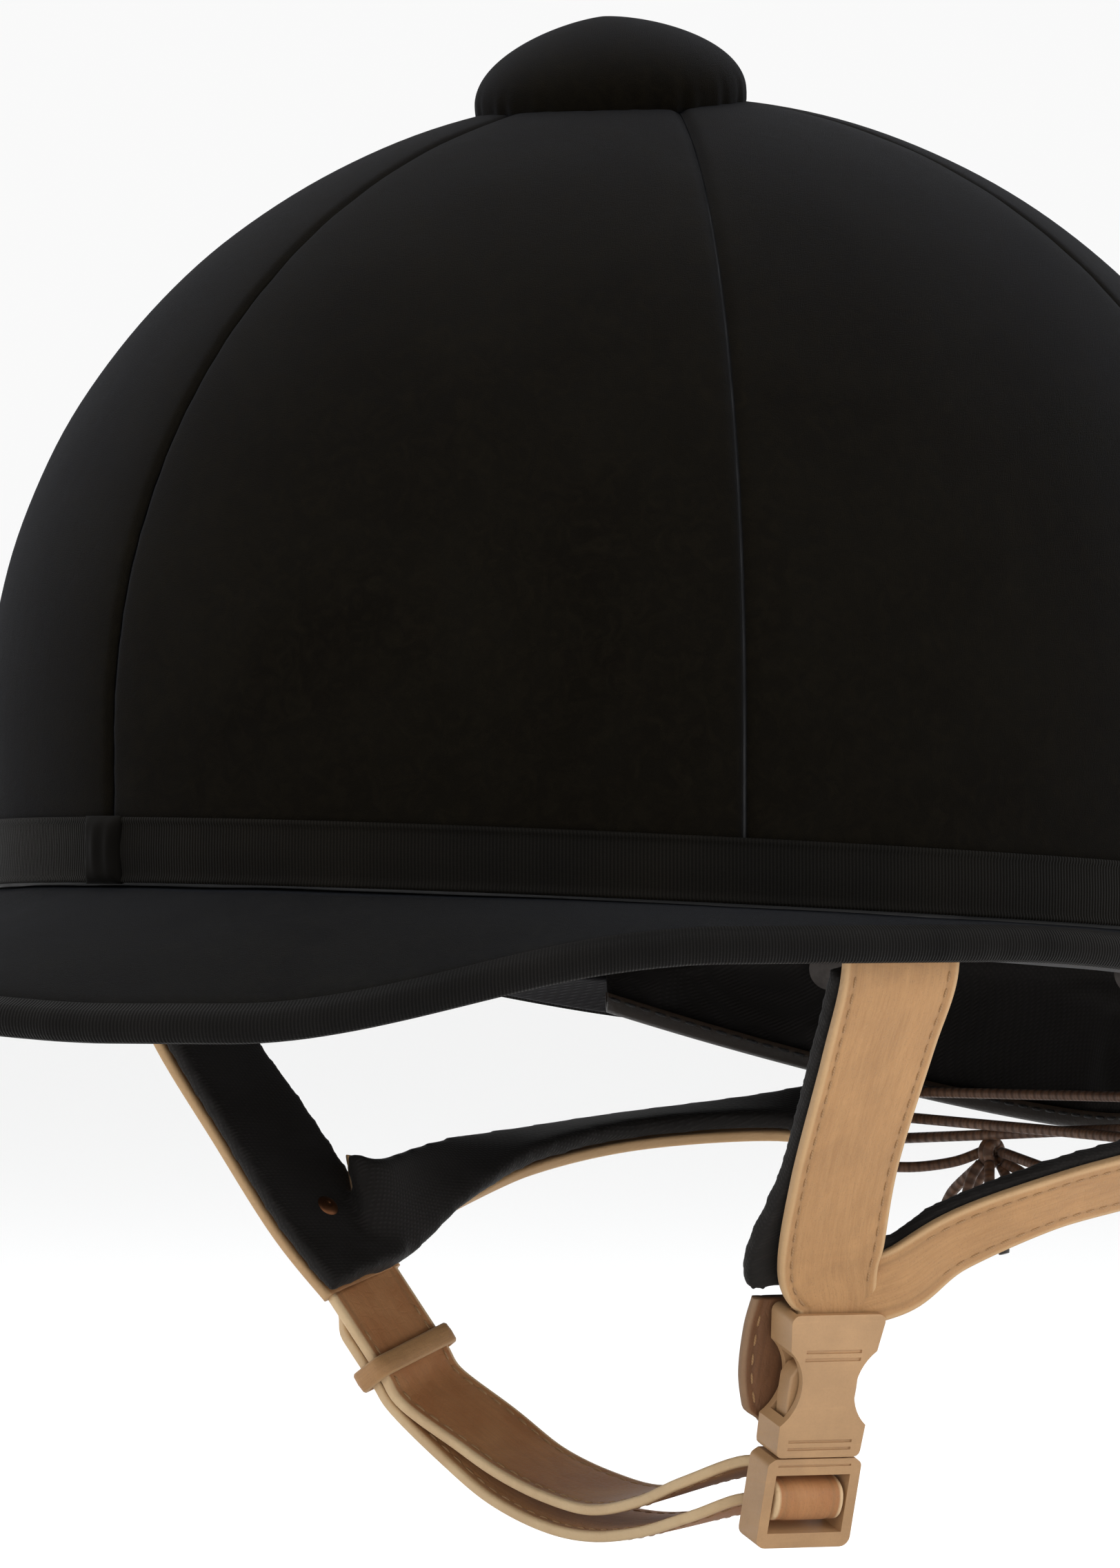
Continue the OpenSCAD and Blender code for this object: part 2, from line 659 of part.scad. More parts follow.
// a side prong: a springy stem with a thumb pad in the window of the socket
module prong(side) {
  stem_t = 4.2;
  color(plastic) at_buckle() mirror([0, side < 0 ? 1 : 0, 0])
    plate(stem_t) polygon([[4, -socket_h], [6.1, -socket_h], [6.5, -21], [6.9, -17],
      [6.9, -12.5], [5.8, -10.5], [4, -10], [4.2, -16]]);
}

// ---------- chin strap ----------

keeper_along = unit([10.5, 7.3, -18.9]);
chin_top = [-57, -20.6, -72];
chin_side = [-0.156, 0.947, 0.28];
run_gap = leather_t + 0.5;
keeper_out = -cross(keeper_along, across(chin_side, keeper_along));
tail_shift = keeper_out * run_gap;
bar_wrap = bar_r + 0.5 + half_t;
function chin(p, v) = [p, v, chin_w];
function window_fit(p) = [p, buckle_across, buckle_w - 5.2];   // narrowed to pass the frame's window
chin_stations = [
  chin(chin_top - keeper_along * 0.9, chin_side),
  chin(chin_top + keeper_along * 8, chin_side),
  chin(chin_top + keeper_along * 16, chin_side),
  chin(chin_top + keeper_along * 22, chin_side),
  chin([-38, -8.7, -97.2], [-0.12, 0.95, 0.25]),
  chin([-28, -6.5, -103.2], [-0.08, 1, 0.18]),
  chin([-16, -5.2, -107.3], [-0.03, 1, 0.17]),
  chin([-3, -5, -109.2], [0, 1, 0.17]),
  chin([11, -6, -106.8], [0, 1, 0.2]),
  chin([24, -7, -103.6], [0.1, 1, 0.12]),
  window_fit(on_buckle([-9, 0, bar_z + bar_wrap + 0.8])),
  window_fit(on_buckle([-1, 0, bar_z + bar_wrap + 0.1])),
  window_fit(on_buckle([bar_wrap * 0.75, 0, bar_z + bar_wrap * 0.75])),
  window_fit(on_buckle([bar_wrap + 0.1, 0, bar_z])),
  window_fit(on_buckle([bar_wrap * 0.75, 0, bar_z - bar_wrap * 0.75])),
  window_fit(on_buckle([-1, 0, bar_z - bar_wrap - 0.1])),
  window_fit(on_buckle([-9, 0, bar_z - bar_wrap - 0.8])),
  chin([24, -7, -110.2], [0.1, 1, 0.12]),
  chin([11, -6, -112.8], [0, 1, 0.15]),
  chin([-3, -5.2, -114], [0, 1, 0.17]),
  chin([-16, -5.4, -112.6], [-0.03, 1, 0.17]),
  chin([-29, -7, -108], [-0.08, 1, 0.18]),
  chin([-40, -9.2, -100.4], [-0.12, 0.95, 0.25]),
  chin(chin_top + keeper_along * 22 + tail_shift, chin_side),
  chin(chin_top + keeper_along * 16 + tail_shift, chin_side),
  chin(chin_top + keeper_along * 8 + tail_shift, chin_side),
  chin(chin_top + keeper_along * 1 + tail_shift, chin_side)
];
// its two faces lie at the same distance from the centre line, so the strap can double back
module chin_strap() { color(leather) strap(chin_stations, -half_t, half_t, -1, 3); }

keeper_from_top = 14.5;
module strap_keeper() {
  ring_l = 4;
  wall = 1.4;
  room_w = chin_w + 1;
  room_t = run_gap + leather_t + 1.3;
  x = keeper_out;
  y = across(chin_side, keeper_along);
  z = -keeper_along;
  c = chin_top + keeper_along * keeper_from_top + tail_shift / 2;
  color(plastic)
    multmatrix([[x[0], y[0], z[0], c[0]], [x[1], y[1], z[1], c[1]], [x[2], y[2], z[2], c[2]], [0, 0, 0, 1]])
      translate([0, 0, -ring_l / 2]) linear_extrude(ring_l) difference() {
        square([room_t + 2 * wall, room_w + 2 * wall], center = true);
        square([room_t, room_w], center = true);
      }
}

outer_shell();
cover_panel(0);  // cover_panel_front_left
cover_panel(1);  // cover_panel_left
cover_panel(2);  // cover_panel_rear_left
cover_panel(3);  // cover_panel_rear_right
cover_panel(4);  // cover_panel_right
cover_panel(5);  // cover_panel_front_right
hat_band();
band_knot();
peak_board();
brim_cover_top();
brim_cover_under();
rim_binding();
button_core();
button_cover();
button_screw();
button_washer();
foam_liner();
crown_pad();
brow_pad();
rear_head_pad();
front_strap_left();
front_strap_right();
front_lining_left();
front_lining_right();
rear_strap_left();
rear_strap_right();
rear_lining_left();
rear_lining_right();
buckle_guard();
strap_rivets();
strap_washers();
join_rivets();
nape_panel();
nape_binding();
nape_rivets();
lace_eyelets();
nape_lace();
lace_knot();
lace_bow();
lace_tips();
chin_strap();
strap_keeper();
buckle_socket();
buckle_frame();
prong(-1);  // prong_front
prong(1);  // prong_rear
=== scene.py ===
import math

import bmesh
import bpy
import numpy as np
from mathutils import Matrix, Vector


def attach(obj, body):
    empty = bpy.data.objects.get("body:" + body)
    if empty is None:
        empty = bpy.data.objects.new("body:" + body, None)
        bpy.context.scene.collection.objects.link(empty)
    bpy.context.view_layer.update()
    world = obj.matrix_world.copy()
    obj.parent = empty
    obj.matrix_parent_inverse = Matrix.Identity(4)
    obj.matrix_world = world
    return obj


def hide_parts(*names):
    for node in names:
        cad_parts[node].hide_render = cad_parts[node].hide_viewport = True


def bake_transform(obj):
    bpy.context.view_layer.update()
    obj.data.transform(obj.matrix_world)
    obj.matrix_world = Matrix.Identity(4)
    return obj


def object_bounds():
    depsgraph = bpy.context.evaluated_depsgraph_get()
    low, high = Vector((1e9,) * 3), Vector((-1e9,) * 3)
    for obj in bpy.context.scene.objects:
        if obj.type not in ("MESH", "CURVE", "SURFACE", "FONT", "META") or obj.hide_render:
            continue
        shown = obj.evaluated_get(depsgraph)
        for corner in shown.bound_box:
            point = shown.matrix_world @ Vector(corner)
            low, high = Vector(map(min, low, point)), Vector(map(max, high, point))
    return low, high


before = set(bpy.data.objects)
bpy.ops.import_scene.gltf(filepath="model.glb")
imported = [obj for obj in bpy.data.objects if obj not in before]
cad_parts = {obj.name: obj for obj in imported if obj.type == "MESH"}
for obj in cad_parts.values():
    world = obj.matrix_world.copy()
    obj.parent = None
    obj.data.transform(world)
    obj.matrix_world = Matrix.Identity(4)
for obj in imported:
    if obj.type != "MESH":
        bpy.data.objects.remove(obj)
cad_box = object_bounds()
scene = bpy.context.scene

# All shapes are worked out in millimetres in the row frame and written in metres.
# The dome's radii run from front to back, from the velvet cover inwards to the head padding.
MM = 0.001
SHELL_L = 260
SHELL_W = 216
COVER_T = 1.5
SHELL_T = 3
LINER_T = 18
GAP = 0.25
SIDE_RATIO = SHELL_W / SHELL_L
COVER_R = SHELL_L / 2
SHELL_R = COVER_R - COVER_T - GAP
INNER_R = SHELL_R - SHELL_T
PAD_R = INNER_R - LINER_T - 2 * GAP
DOME_Z = 30.0
DOME_H = 115.0


# ---------- curves and meshes ----------

def unit(v):
    v = np.asarray(v, float)
    return v / np.linalg.norm(v, axis=-1, keepdims=True)


def smooth(x):
    c = np.clip(x, 0, 1)
    return c * c * (3 - 2 * c)


def curve(points, steps):
    """A smooth curve through the points, with that many steps a span."""
    p = np.asarray(points, float)
    if p.ndim == 1:
        p = p[:, None]
    last = len(p) - 1
    s = (np.arange(steps) / steps)[:, None]
    rows = []
    for i in range(last):
        a, b, c, d = p[max(i - 1, 0)], p[i], p[i + 1], p[min(i + 2, last)]
        rows.append((2 * b + (c - a) * s + (2 * a - 5 * b + 4 * c - d) * s ** 2
                     + (3 * b - a - 3 * c + d) * s ** 3) / 2)
    rows.append(p[-1:])
    return np.concatenate(rows)


def tangents(c, closed=False):
    if closed:
        return unit(np.roll(c, -1, 0) - np.roll(c, 1, 0))
    t = np.empty_like(c)
    t[1:-1] = c[2:] - c[:-2]
    t[0], t[-1] = c[1] - c[0], c[-1] - c[-2]
    return unit(t)


def lengths(c):
    return np.concatenate([[0], np.cumsum(np.linalg.norm(np.diff(c, axis=0), axis=1))])


def piece(name, verts, faces, attributes=None, flat=False):
    mesh = bpy.data.meshes.new(name)
    mesh.from_pydata((np.asarray(verts, float) * MM).tolist(), [], [list(map(int, f)) for f in faces])
    for key, values in (attributes or {}).items():
        layer = mesh.attributes.new(key, "FLOAT", "POINT")
        layer.data.foreach_set("value", np.asarray(values, np.float32))
    bm = bmesh.new()
    bm.from_mesh(mesh)
    bmesh.ops.recalc_face_normals(bm, faces=bm.faces)
    bm.to_mesh(mesh)
    bm.free()
    if not flat:
        mesh.polygons.foreach_set("use_smooth", np.ones(len(mesh.polygons), bool))
    mesh.update()
    o = bpy.data.objects.new(name, mesh)
    scene.collection.objects.link(o)
    return o


def ring_faces(n, m, ring=False):
    """Faces through n sections of m points, each a closed loop."""
    faces = []
    for i in range(n if ring else n - 1):
        a, b = i * m, ((i + 1) % n) * m
        for j in range(m):
            k = (j + 1) % m
            faces.append((a + j, a + k, b + k, b + j))
    return faces


def tube_faces(n, m):
    """Faces through n sections of m points, closed at both ends."""
    return ring_faces(n, m) + [tuple(range(m)), tuple(range((n - 1) * m, n * m))]


def loft(name, sections, attributes=None, ring=False):
    s = np.asarray(sections, float)
    n, m = s.shape[:2]
    faces = ring_faces(n, m, True) if ring else tube_faces(n, m)
    return piece(name, s.reshape(-1, 3), faces, attributes)


def slab_mesh(top, low):
    """A closed sheet between two grids of points."""
    n, m = top.shape[:2]
    faces = []
    at = np.arange(n * m).reshape(n, m)
    for i in range(n - 1):
        for j in range(m - 1):
            q = (at[i, j], at[i + 1, j], at[i + 1, j + 1], at[i, j + 1])
            faces.append(q)
            faces.append(tuple(x + n * m for x in q[::-1]))
    rim = (list(at[:, 0]) + list(at[-1, 1:]) + list(at[::-1, -1][1:]) + list(at[0, ::-1][1:-1]))
    for a, b in zip(rim, rim[1:] + rim[:1]):
        faces.append((b, a, a + n * m, b + n * m))
    return np.concatenate([top.reshape(-1, 3), low.reshape(-1, 3)]), faces


def final_mesh(o):
    """Applies the modifiers that o has."""
    bpy.context.view_layer.update()
    done = bpy.data.meshes.new_from_object(o.evaluated_get(bpy.context.evaluated_depsgraph_get()))
    o.modifiers.clear()
    o.data = done
    done.polygons.foreach_set("use_smooth", np.ones(len(done.polygons), bool))
    return o


def modifier(o, kind, **settings):
    m = o.modifiers.new(kind.lower(), kind)
    for key, value in settings.items():
        setattr(m, key, value)
    return m


def joined(name, parts, attributes=None):
    """One object made of several (verts, faces) solids."""
    verts, faces, start = [], [], 0
    for v, f in parts:
        verts.append(np.asarray(v, float))
        faces += [tuple(x + start for x in q) for q in f]
        start += len(v)
    return piece(name, np.concatenate(verts), faces, attributes)


def moved(o, change):
    """Moves each vertex by change(points in mm)."""
    co = np.empty(len(o.data.vertices) * 3)
    o.data.vertices.foreach_get("co", co)
    p = co.reshape(-1, 3) / MM
    o.data.vertices.foreach_set("co", (change(p) * MM).ravel())
    o.data.update()
    return o


def ripple(p, size, seed=0.0):
    """A gentle uneven value from -1 to 1 over points p, with bumps of that size in mm."""
    x, y, z = (p[..., i] / size for i in range(3))
    return (np.sin(2.1 * x + 1.3 * z + seed) * np.cos(1.7 * y - 0.9 * x + 2 * seed)
            + 0.6 * np.sin(3.7 * z + 2.3 * y + 3 * seed) * np.cos(3.1 * x + 0.7 * seed)
            + 0.4 * np.sin(5.9 * x - 4.7 * y + 5.1 * z + seed)) / 2


# ---------- materials ----------

class Look:
    """A node material with a few short ways to add nodes."""

    def __init__(self, name, **sockets):
        self.material = bpy.data.materials.new(name)
        self.material.use_nodes = True
        self.tree = self.material.node_tree
        self.tree.nodes.clear()
        out = self.tree.nodes.new("ShaderNodeOutputMaterial")
        self.shader = self.tree.nodes.new("ShaderNodeBsdfPrincipled")
        self.tree.links.new(self.shader.outputs[0], out.inputs[0])
        for key, value in sockets.items():
            self.shader.inputs[key.replace("_", " ")].default_value = value

    def add(self, kind, outlet=0, inputs=None, **settings):
        node = self.tree.nodes.new("ShaderNode" + kind)
        for key, value in settings.items():
            setattr(node, key, value)
        for key, value in (inputs or {}).items():
            if isinstance(value, bpy.types.NodeSocket):
                self.tree.links.new(value, node.inputs[key])
            else:
                node.inputs[key].default_value = value
        return node.outputs[outlet]

    def place(self, scale=(1, 1, 1), turn=(0, 0, 0)):
        at = self.add("TexCoord", "Object")
        return self.add("Mapping", 0, {"Vector": at, "Scale": scale, "Rotation": turn})

    def along(self, *scales):
        """A coordinate along and across a strap, from the attributes of its mesh."""
        u = self.add("Attribute", "Fac", attribute_name="along")
        v = self.add("Attribute", "Fac", attribute_name="across")
        flat = self.add("CombineXYZ", 0, {"X": u, "Y": v})
        return self.add("Mapping", 0, {"Vector": flat, "Scale": tuple(scales) + (1,)})

    def value(self, name):
        return self.add("Attribute", "Fac", attribute_name=name)

    def noise(self, at, scale, detail=3.0, roughness=0.5, distortion=0.0):
        return self.add("TexNoise", 0, {"Vector": at, "Scale": scale, "Detail": detail,
                                        "Roughness": roughness, "Distortion": distortion})

    def cells(self, at, scale, feature="F1"):
        return self.add("TexVoronoi", 0, {"Vector": at, "Scale": scale}, feature=feature)

    def wave(self, at, scale, direction="X", distortion=0.0, detail=0.0, kind="BANDS"):
        inputs = {"Vector": at, "Scale": scale, "Distortion": distortion, "Detail": detail}
        return self.add("TexWave", 1, inputs, wave_type=kind, bands_direction=direction)

    def math(self, operation, a, b):
        return self.add("Math", 0, {0: a, 1: b}, operation=operation)

    def spread(self, value, low, high, to_low=0.0, to_high=1.0):
        return self.add("MapRange", 0, {"Value": value, "From Min": low, "From Max": high,
                                        "To Min": to_low, "To Max": to_high})

    def blend(self, factor, a, b, how="MIX"):
        def four(c):
            return c if isinstance(c, bpy.types.NodeSocket) else tuple(c) + (1,)
        return self.add("Mix", 2, {0: factor, 6: four(a), 7: four(b)}, data_type="RGBA", blend_type=how)

    def bump(self, height, strength, depth_mm, onto=None):
        inputs = {"Height": height, "Strength": strength, "Distance": depth_mm * MM}
        if onto is not None:
            inputs["Normal"] = onto
        return self.add("Bump", 0, inputs)

    def finish(self, color=None, roughness=None, normal=None):
        for key, value in (("Base Color", color), ("Roughness", roughness), ("Normal", normal)):
            if value is not None:
                self.tree.links.new(value, self.shader.inputs[key])
        return self.material


def toned(color, by):
    return [min(1, c * by) for c in color]


def velvet_look(name, dark, light, sheen, seed):
    k = Look(name, Sheen_Weight=sheen, Sheen_Roughness=0.38, Sheen_Tint=(0.72, 0.8, 1, 1),
             Specular_IOR_Level=0.04)
    at = k.place()
    patches = k.noise(k.place(turn=(seed, 0.3, 0)), 22, 4, 0.6, 0.8)
    nap = k.noise(at, 260, 3, 0.6, 1.5)
    pile = k.noise(at, 5200, 2, 0.7)
    color = k.blend(k.spread(patches, 0.35, 0.68), dark, light)
    color = k.blend(k.spread(nap, 0.42, 0.75, 0, 0.55), color, toned(light, 1.9))
    color = k.blend(k.spread(pile, 0.35, 0.7, 0.0, 0.45), color, toned(dark, 0.4))
    rough = k.spread(nap, 0.3, 0.7, 0.86, 0.98)
    normal = k.bump(nap, 0.25, 0.25)
    normal = k.bump(pile, 0.6, 0.3, normal)
    return k.finish(color, rough, normal)


def leather_look(name, face, flesh_and_shade, edge, streak):
    """Vegetable-tanned strap leather: grain, streaks along the strap, pale cut edges, a browner inside that
    is partly the flesh side and partly painted shade.
    """
    k = Look(name, Specular_IOR_Level=0.35, Sheen_Weight=0.04, Coat_Weight=0.05, Coat_Roughness=0.4)
    at = k.place()
    streaks = k.noise(k.along(60, 900), 1, 4, 0.65, 0.4)
    fine = k.noise(k.along(220, 3200), 1, 3, 0.6)
    blotch = k.noise(at, 75, 4, 0.6, 0.6)
    pores = k.cells(k.place(), 1500)
    wrinkle = k.cells(at, 620, "DISTANCE_TO_EDGE")
    inner = k.spread(k.value("face"), 0.1, -0.4)
    # inward faces: darker brown, partly the flesh side and partly painted shade
    color = k.blend(inner, face, flesh_and_shade)
    color = k.blend(k.spread(streaks, 0.38, 0.68, 0, 0.6), color, streak)
    color = k.blend(k.spread(blotch, 0.4, 0.72, 0, 0.55), color, toned(face, 1.25))
    color = k.blend(k.spread(fine, 0.45, 0.75, 0, 0.3), color, toned(face, 0.6))
    # pores darker: painted shade in the pits
    color = k.blend(k.spread(pores, 0.0, 0.28, 0.35, 0.0), color, toned(face, 0.4))
    # creased lines darker: painted shade in the crease
    color = k.blend(k.spread(k.value("groove"), 0, 1, 0, 0.6), color, toned(face, 0.7))
    cut = k.math("MULTIPLY", k.value("edge"), k.spread(blotch, 0.3, 0.6, 0.75, 1.0))
    color = k.blend(cut, color, edge)
    rough = k.spread(k.math("ADD", blotch, pores), 0.4, 1.2, 0.48, 0.66)
    normal = k.bump(k.spread(wrinkle, 0.0, 0.12), 0.22, 0.12)
    normal = k.bump(pores, 0.25, 0.12, normal)
    normal = k.bump(streaks, 0.2, 0.25, normal)
    return k.finish(color, rough, normal)


def lining_look(name, dark, light):
    """Black padded lining: a close knit with a soft face."""
    k = Look(name, Specular_IOR_Level=0.22, Sheen_Weight=0.06, Sheen_Roughness=0.45)
    at = k.place()
    over = k.wave(k.place(turn=(0.2, 0.1, 0.75)), 480, "X", 0.6, 1)
    under = k.wave(k.place(turn=(0.1, 0.75, 0.1)), 480, "Z", 0.6, 1)
    knit = k.math("MULTIPLY", over, under)
    worn = k.noise(at, 60, 4, 0.6, 0.5)
    fuzz = k.noise(at, 2600, 3, 0.7)
    color = k.blend(k.spread(worn, 0.36, 0.7), dark, light)
    # darker in the knit's hollows: painted shade
    color = k.blend(k.spread(knit, 0.1, 0.8, 0.45, 0), color, toned(dark, 0.35))
    rough = k.spread(k.math("ADD", worn, fuzz), 0.6, 1.4, 0.62, 0.86)
    normal = k.bump(knit, 0.35, 0.2)
    normal = k.bump(fuzz, 0.3, 0.12, normal)
    return k.finish(color, rough, normal)


def ribbon_look(name, base):
    """Grosgrain ribbon: ribs that run up and down, all round."""
    k = Look(name, Specular_IOR_Level=0.06, Sheen_Weight=0.02, Sheen_Roughness=0.4)
    ribs = k.wave(k.along(1000, 1), 0.5, "X", 0.15, 1)
    wefts = k.wave(k.along(1, 1000), 1.1, "Y", 0.3, 1)
    tone = k.noise(k.place(), 45, 3, 0.5)
    color = k.blend(k.spread(tone, 0.35, 0.7), base, toned(base, 2.0))
    # darker between the ribs: painted shade in the valleys
    color = k.blend(k.spread(ribs, 0, 1, 0.6, 0), color, toned(base, 0.35))
    normal = k.bump(ribs, 0.7, 0.25)
    normal = k.bump(wefts, 0.2, 0.1, normal)
    return k.finish(color, k.spread(ribs, 0, 1, 0.75, 0.5), normal)


def plastic_look(name, base, gloss=0.42, speckle=0.12):
    """Moulded plastic with a fine spark-eroded skin and handling marks."""
    k = Look(name, Specular_IOR_Level=0.45, Coat_Weight=0.03, Coat_Roughness=0.3)
    at = k.place()
    skin = k.noise(at, 2400, 2, 0.6)
    cloud = k.noise(at, 90, 4, 0.6)
    rub = k.noise(k.place((1, 1, 14)), 60, 4, 0.7, 0.3)
    color = k.blend(k.spread(cloud, 0.35, 0.7), base, toned(base, 1.2))
    color = k.blend(k.spread(skin, 0.45, 0.8, 0, speckle), color, toned(base, 0.55))
    color = k.blend(k.spread(rub, 0.55, 0.8, 0, 0.3), color, toned(base, 1.5))
    rough = k.spread(rub, 0.3, 0.8, gloss - 0.06, gloss + 0.16)
    return k.finish(color, rough, k.bump(skin, 0.22, 0.08))


def metal_look(name, base, rough_low, rough_high):
    k = Look(name, Metallic=1.0)
    at = k.place()
    scratch = k.noise(k.place((1, 14, 3)), 420, 4, 0.75, 0.4)
    dull = k.noise(at, 240, 3, 0.6)
    color = k.blend(k.spread(dull, 0.4, 0.75), base, toned(base, 0.5))
    rough = k.spread(scratch, 0.3, 0.75, rough_low, rough_high)
    return k.finish(color, rough, k.bump(scratch, 0.25, 0.05))


def foam_look(name, base):
    """Moulded bead foam: each bead shows, with a fine line between beads."""
    k = Look(name, Specular_IOR_Level=0.3)
    at = k.place()
    beads = k.cells(at, 330, "DISTANCE_TO_EDGE")
    tone = k.cells(at, 330)
    dust = k.noise(at, 60, 4, 0.6)
    color = k.blend(k.spread(beads, 0.0, 0.1, 0.55, 0), base, toned(base, 0.5))
    color = k.blend(k.spread(tone, 0, 1, 0, 0.25), color, toned(base, 1.5))
    color = k.blend(k.spread(dust, 0.45, 0.75, 0, 0.35), color, toned(base, 0.6))
    normal = k.bump(k.spread(beads, 0, 0.16), 0.5, 0.35)
    return k.finish(color, k.spread(beads, 0, 0.1, 0.85, 0.55), normal)


def cord_look(name, base, light):
    """Round braided lace, waxed."""
    k = Look(name, Specular_IOR_Level=0.4, Sheen_Weight=0.05)
    one = k.wave(k.along(1000, 160), 0.32, "DIAGONAL", 0.2, 1)
    two = k.wave(k.along(1000, -160), 0.32, "DIAGONAL", 0.2, 1)
    braid = k.math("MAXIMUM", one, two)
    tone = k.noise(k.place(), 110, 3, 0.6)
    color = k.blend(k.spread(tone, 0.35, 0.7), base, light)
    # darker in the grooves between braided strands: painted shade
    color = k.blend(k.spread(braid, 0.5, 1, 0.55, 0), color, toned(base, 0.3))
    return k.finish(color, k.spread(braid, 0.5, 1, 0.7, 0.45), k.bump(braid, 0.6, 0.2))


def thread_look(name, base):
    k = Look(name, Specular_IOR_Level=0.35, Sheen_Weight=0.08)
    twist = k.wave(k.place(turn=(0.5, 0.6, 0.7)), 900, "DIAGONAL", 0.5, 1)
    wax = k.noise(k.place(), 500, 2, 0.5)
    # darker in the twist's grooves: painted shade
    color = k.blend(k.spread(twist, 0.2, 0.9, 0.4, 0), base, toned(base, 0.45))
    return k.finish(color, k.spread(wax, 0.3, 0.7, 0.5, 0.75), k.bump(twist, 0.5, 0.08))


def wood_look(name, base):
    k = Look(name, Specular_IOR_Level=0.3)
    rings = k.wave(k.place((1, 1, 0.25)), 260, "X", 4, 3, "RINGS")
    fibre = k.noise(k.place((1, 1, 0.1)), 1400, 3, 0.6)
    color = k.blend(rings, base, toned(base, 0.6))
    return k.finish(color, k.spread(fibre, 0.3, 0.7, 0.5, 0.75), k.bump(fibre, 0.3, 0.15))


TAN = (0.43, 0.235, 0.1)
# inside colour of the tan straps: partly the flesh side, partly painted shade
BROWN = (0.36, 0.155, 0.055)
PALE = (0.54, 0.34, 0.17)
velvet = velvet_look("velvet", (0.0026, 0.0018, 0.0008), (0.0043, 0.0034, 0.002), 0.04, 0.2)
# painted light: a lighter copy of the dome velvet for the peak's top, standing in for the light its upward
# face reflects
velvet_peak_painted_light = velvet_look("velvet_peak_painted_light", (0.003, 0.0024, 0.0014), (0.005, 0.0044, 0.0032), 0.05, 1.1)
velvet_under = lining_look("peak_underside_cloth", (0.009, 0.008, 0.009), (0.017, 0.016, 0.018))
binding_look = ribbon_look("binding_cloth", (0.0045, 0.004, 0.0036))
ribbon_black = ribbon_look("grosgrain", (0.0026, 0.002, 0.0012))
leather = leather_look("strap_leather", TAN, BROWN, PALE, (0.33, 0.165, 0.065))
# chin strap leather: its edge colour, much paler than the other straps', is partly the pale cut edge and
# partly a painted highlight on the strap's edges
chin_leather = leather_look("chin_leather", (0.45, 0.235, 0.1), (0.4, 0.165, 0.06), (0.72, 0.52, 0.3),
                            (0.31, 0.13, 0.045))
nape_leather = leather_look("nape_leather", (0.02, 0.014, 0.01), (0.014, 0.01, 0.008), (0.07, 0.042, 0.024),
                            (0.014, 0.01, 0.007))
# painted shade: the guard is the tan strap leather darkened, for the shade it sits in behind the buckle
guard_leather_shaded = leather_look("guard_leather_shaded", (0.2, 0.09, 0.04), (0.1, 0.05, 0.028), (0.3, 0.18, 0.1),
                             (0.1, 0.045, 0.02))
lining_black = lining_look("padded_lining", (0.0085, 0.0065, 0.005), (0.017, 0.0145, 0.0135))
pad_cloth = lining_look("pad_cloth", (0.016, 0.016, 0.018), (0.032, 0.032, 0.036))
buckle_plastic = plastic_look("beige_plastic", (0.43, 0.255, 0.125))
shell_plastic = plastic_look("shell_plastic", (0.02, 0.02, 0.022), 0.5)
board_fibre = plastic_look("board_fibre", (0.03, 0.026, 0.022), 0.7, 0.5)
foam = foam_look("bead_foam", (0.045, 0.045, 0.048))
button_wood = wood_look("button_wood", (0.45, 0.28, 0.14))
lace_brown = cord_look("brown_lace", (0.085, 0.036, 0.016), (0.15, 0.07, 0.032))
lace_tip_look = plastic_look("lace_tip_plastic", (0.02, 0.014, 0.01), 0.3)
steel = metal_look("rivet_steel", (0.6, 0.6, 0.62), 0.22, 0.5)
eyelet_black = metal_look("eyelet_black", (0.09, 0.08, 0.075), 0.3, 0.55)
rivet_brown = metal_look("rivet_brown", (0.2, 0.085, 0.04), 0.35, 0.6)
thread_tan = thread_look("thread_tan", (0.4, 0.225, 0.1))
thread_black = thread_look("thread_black", (0.012, 0.011, 0.011))


def dress(o, material, body="root", nodes=()):
    o.data.materials.clear()
    o.data.materials.append(material)
    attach(o, body)
    if nodes:
        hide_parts(*nodes)
    return o


# ---------- camera, light and floor ----------

def light(name, where, aim, size, power, color):
    data = bpy.data.lights.new(name, "AREA")
    data.shape = "DISK"
    data.size = size
    data.energy = power
    data.color = color
    o = bpy.data.objects.new(name, data)
    o.location = where
    o.rotation_euler = (Vector(aim) - Vector(where)).to_track_quat("-Z", "Y").to_euler()
    scene.collection.objects.link(o)


VIEW = 48
FLOOR_DROP = 18
FLOOR_REACH = 6000


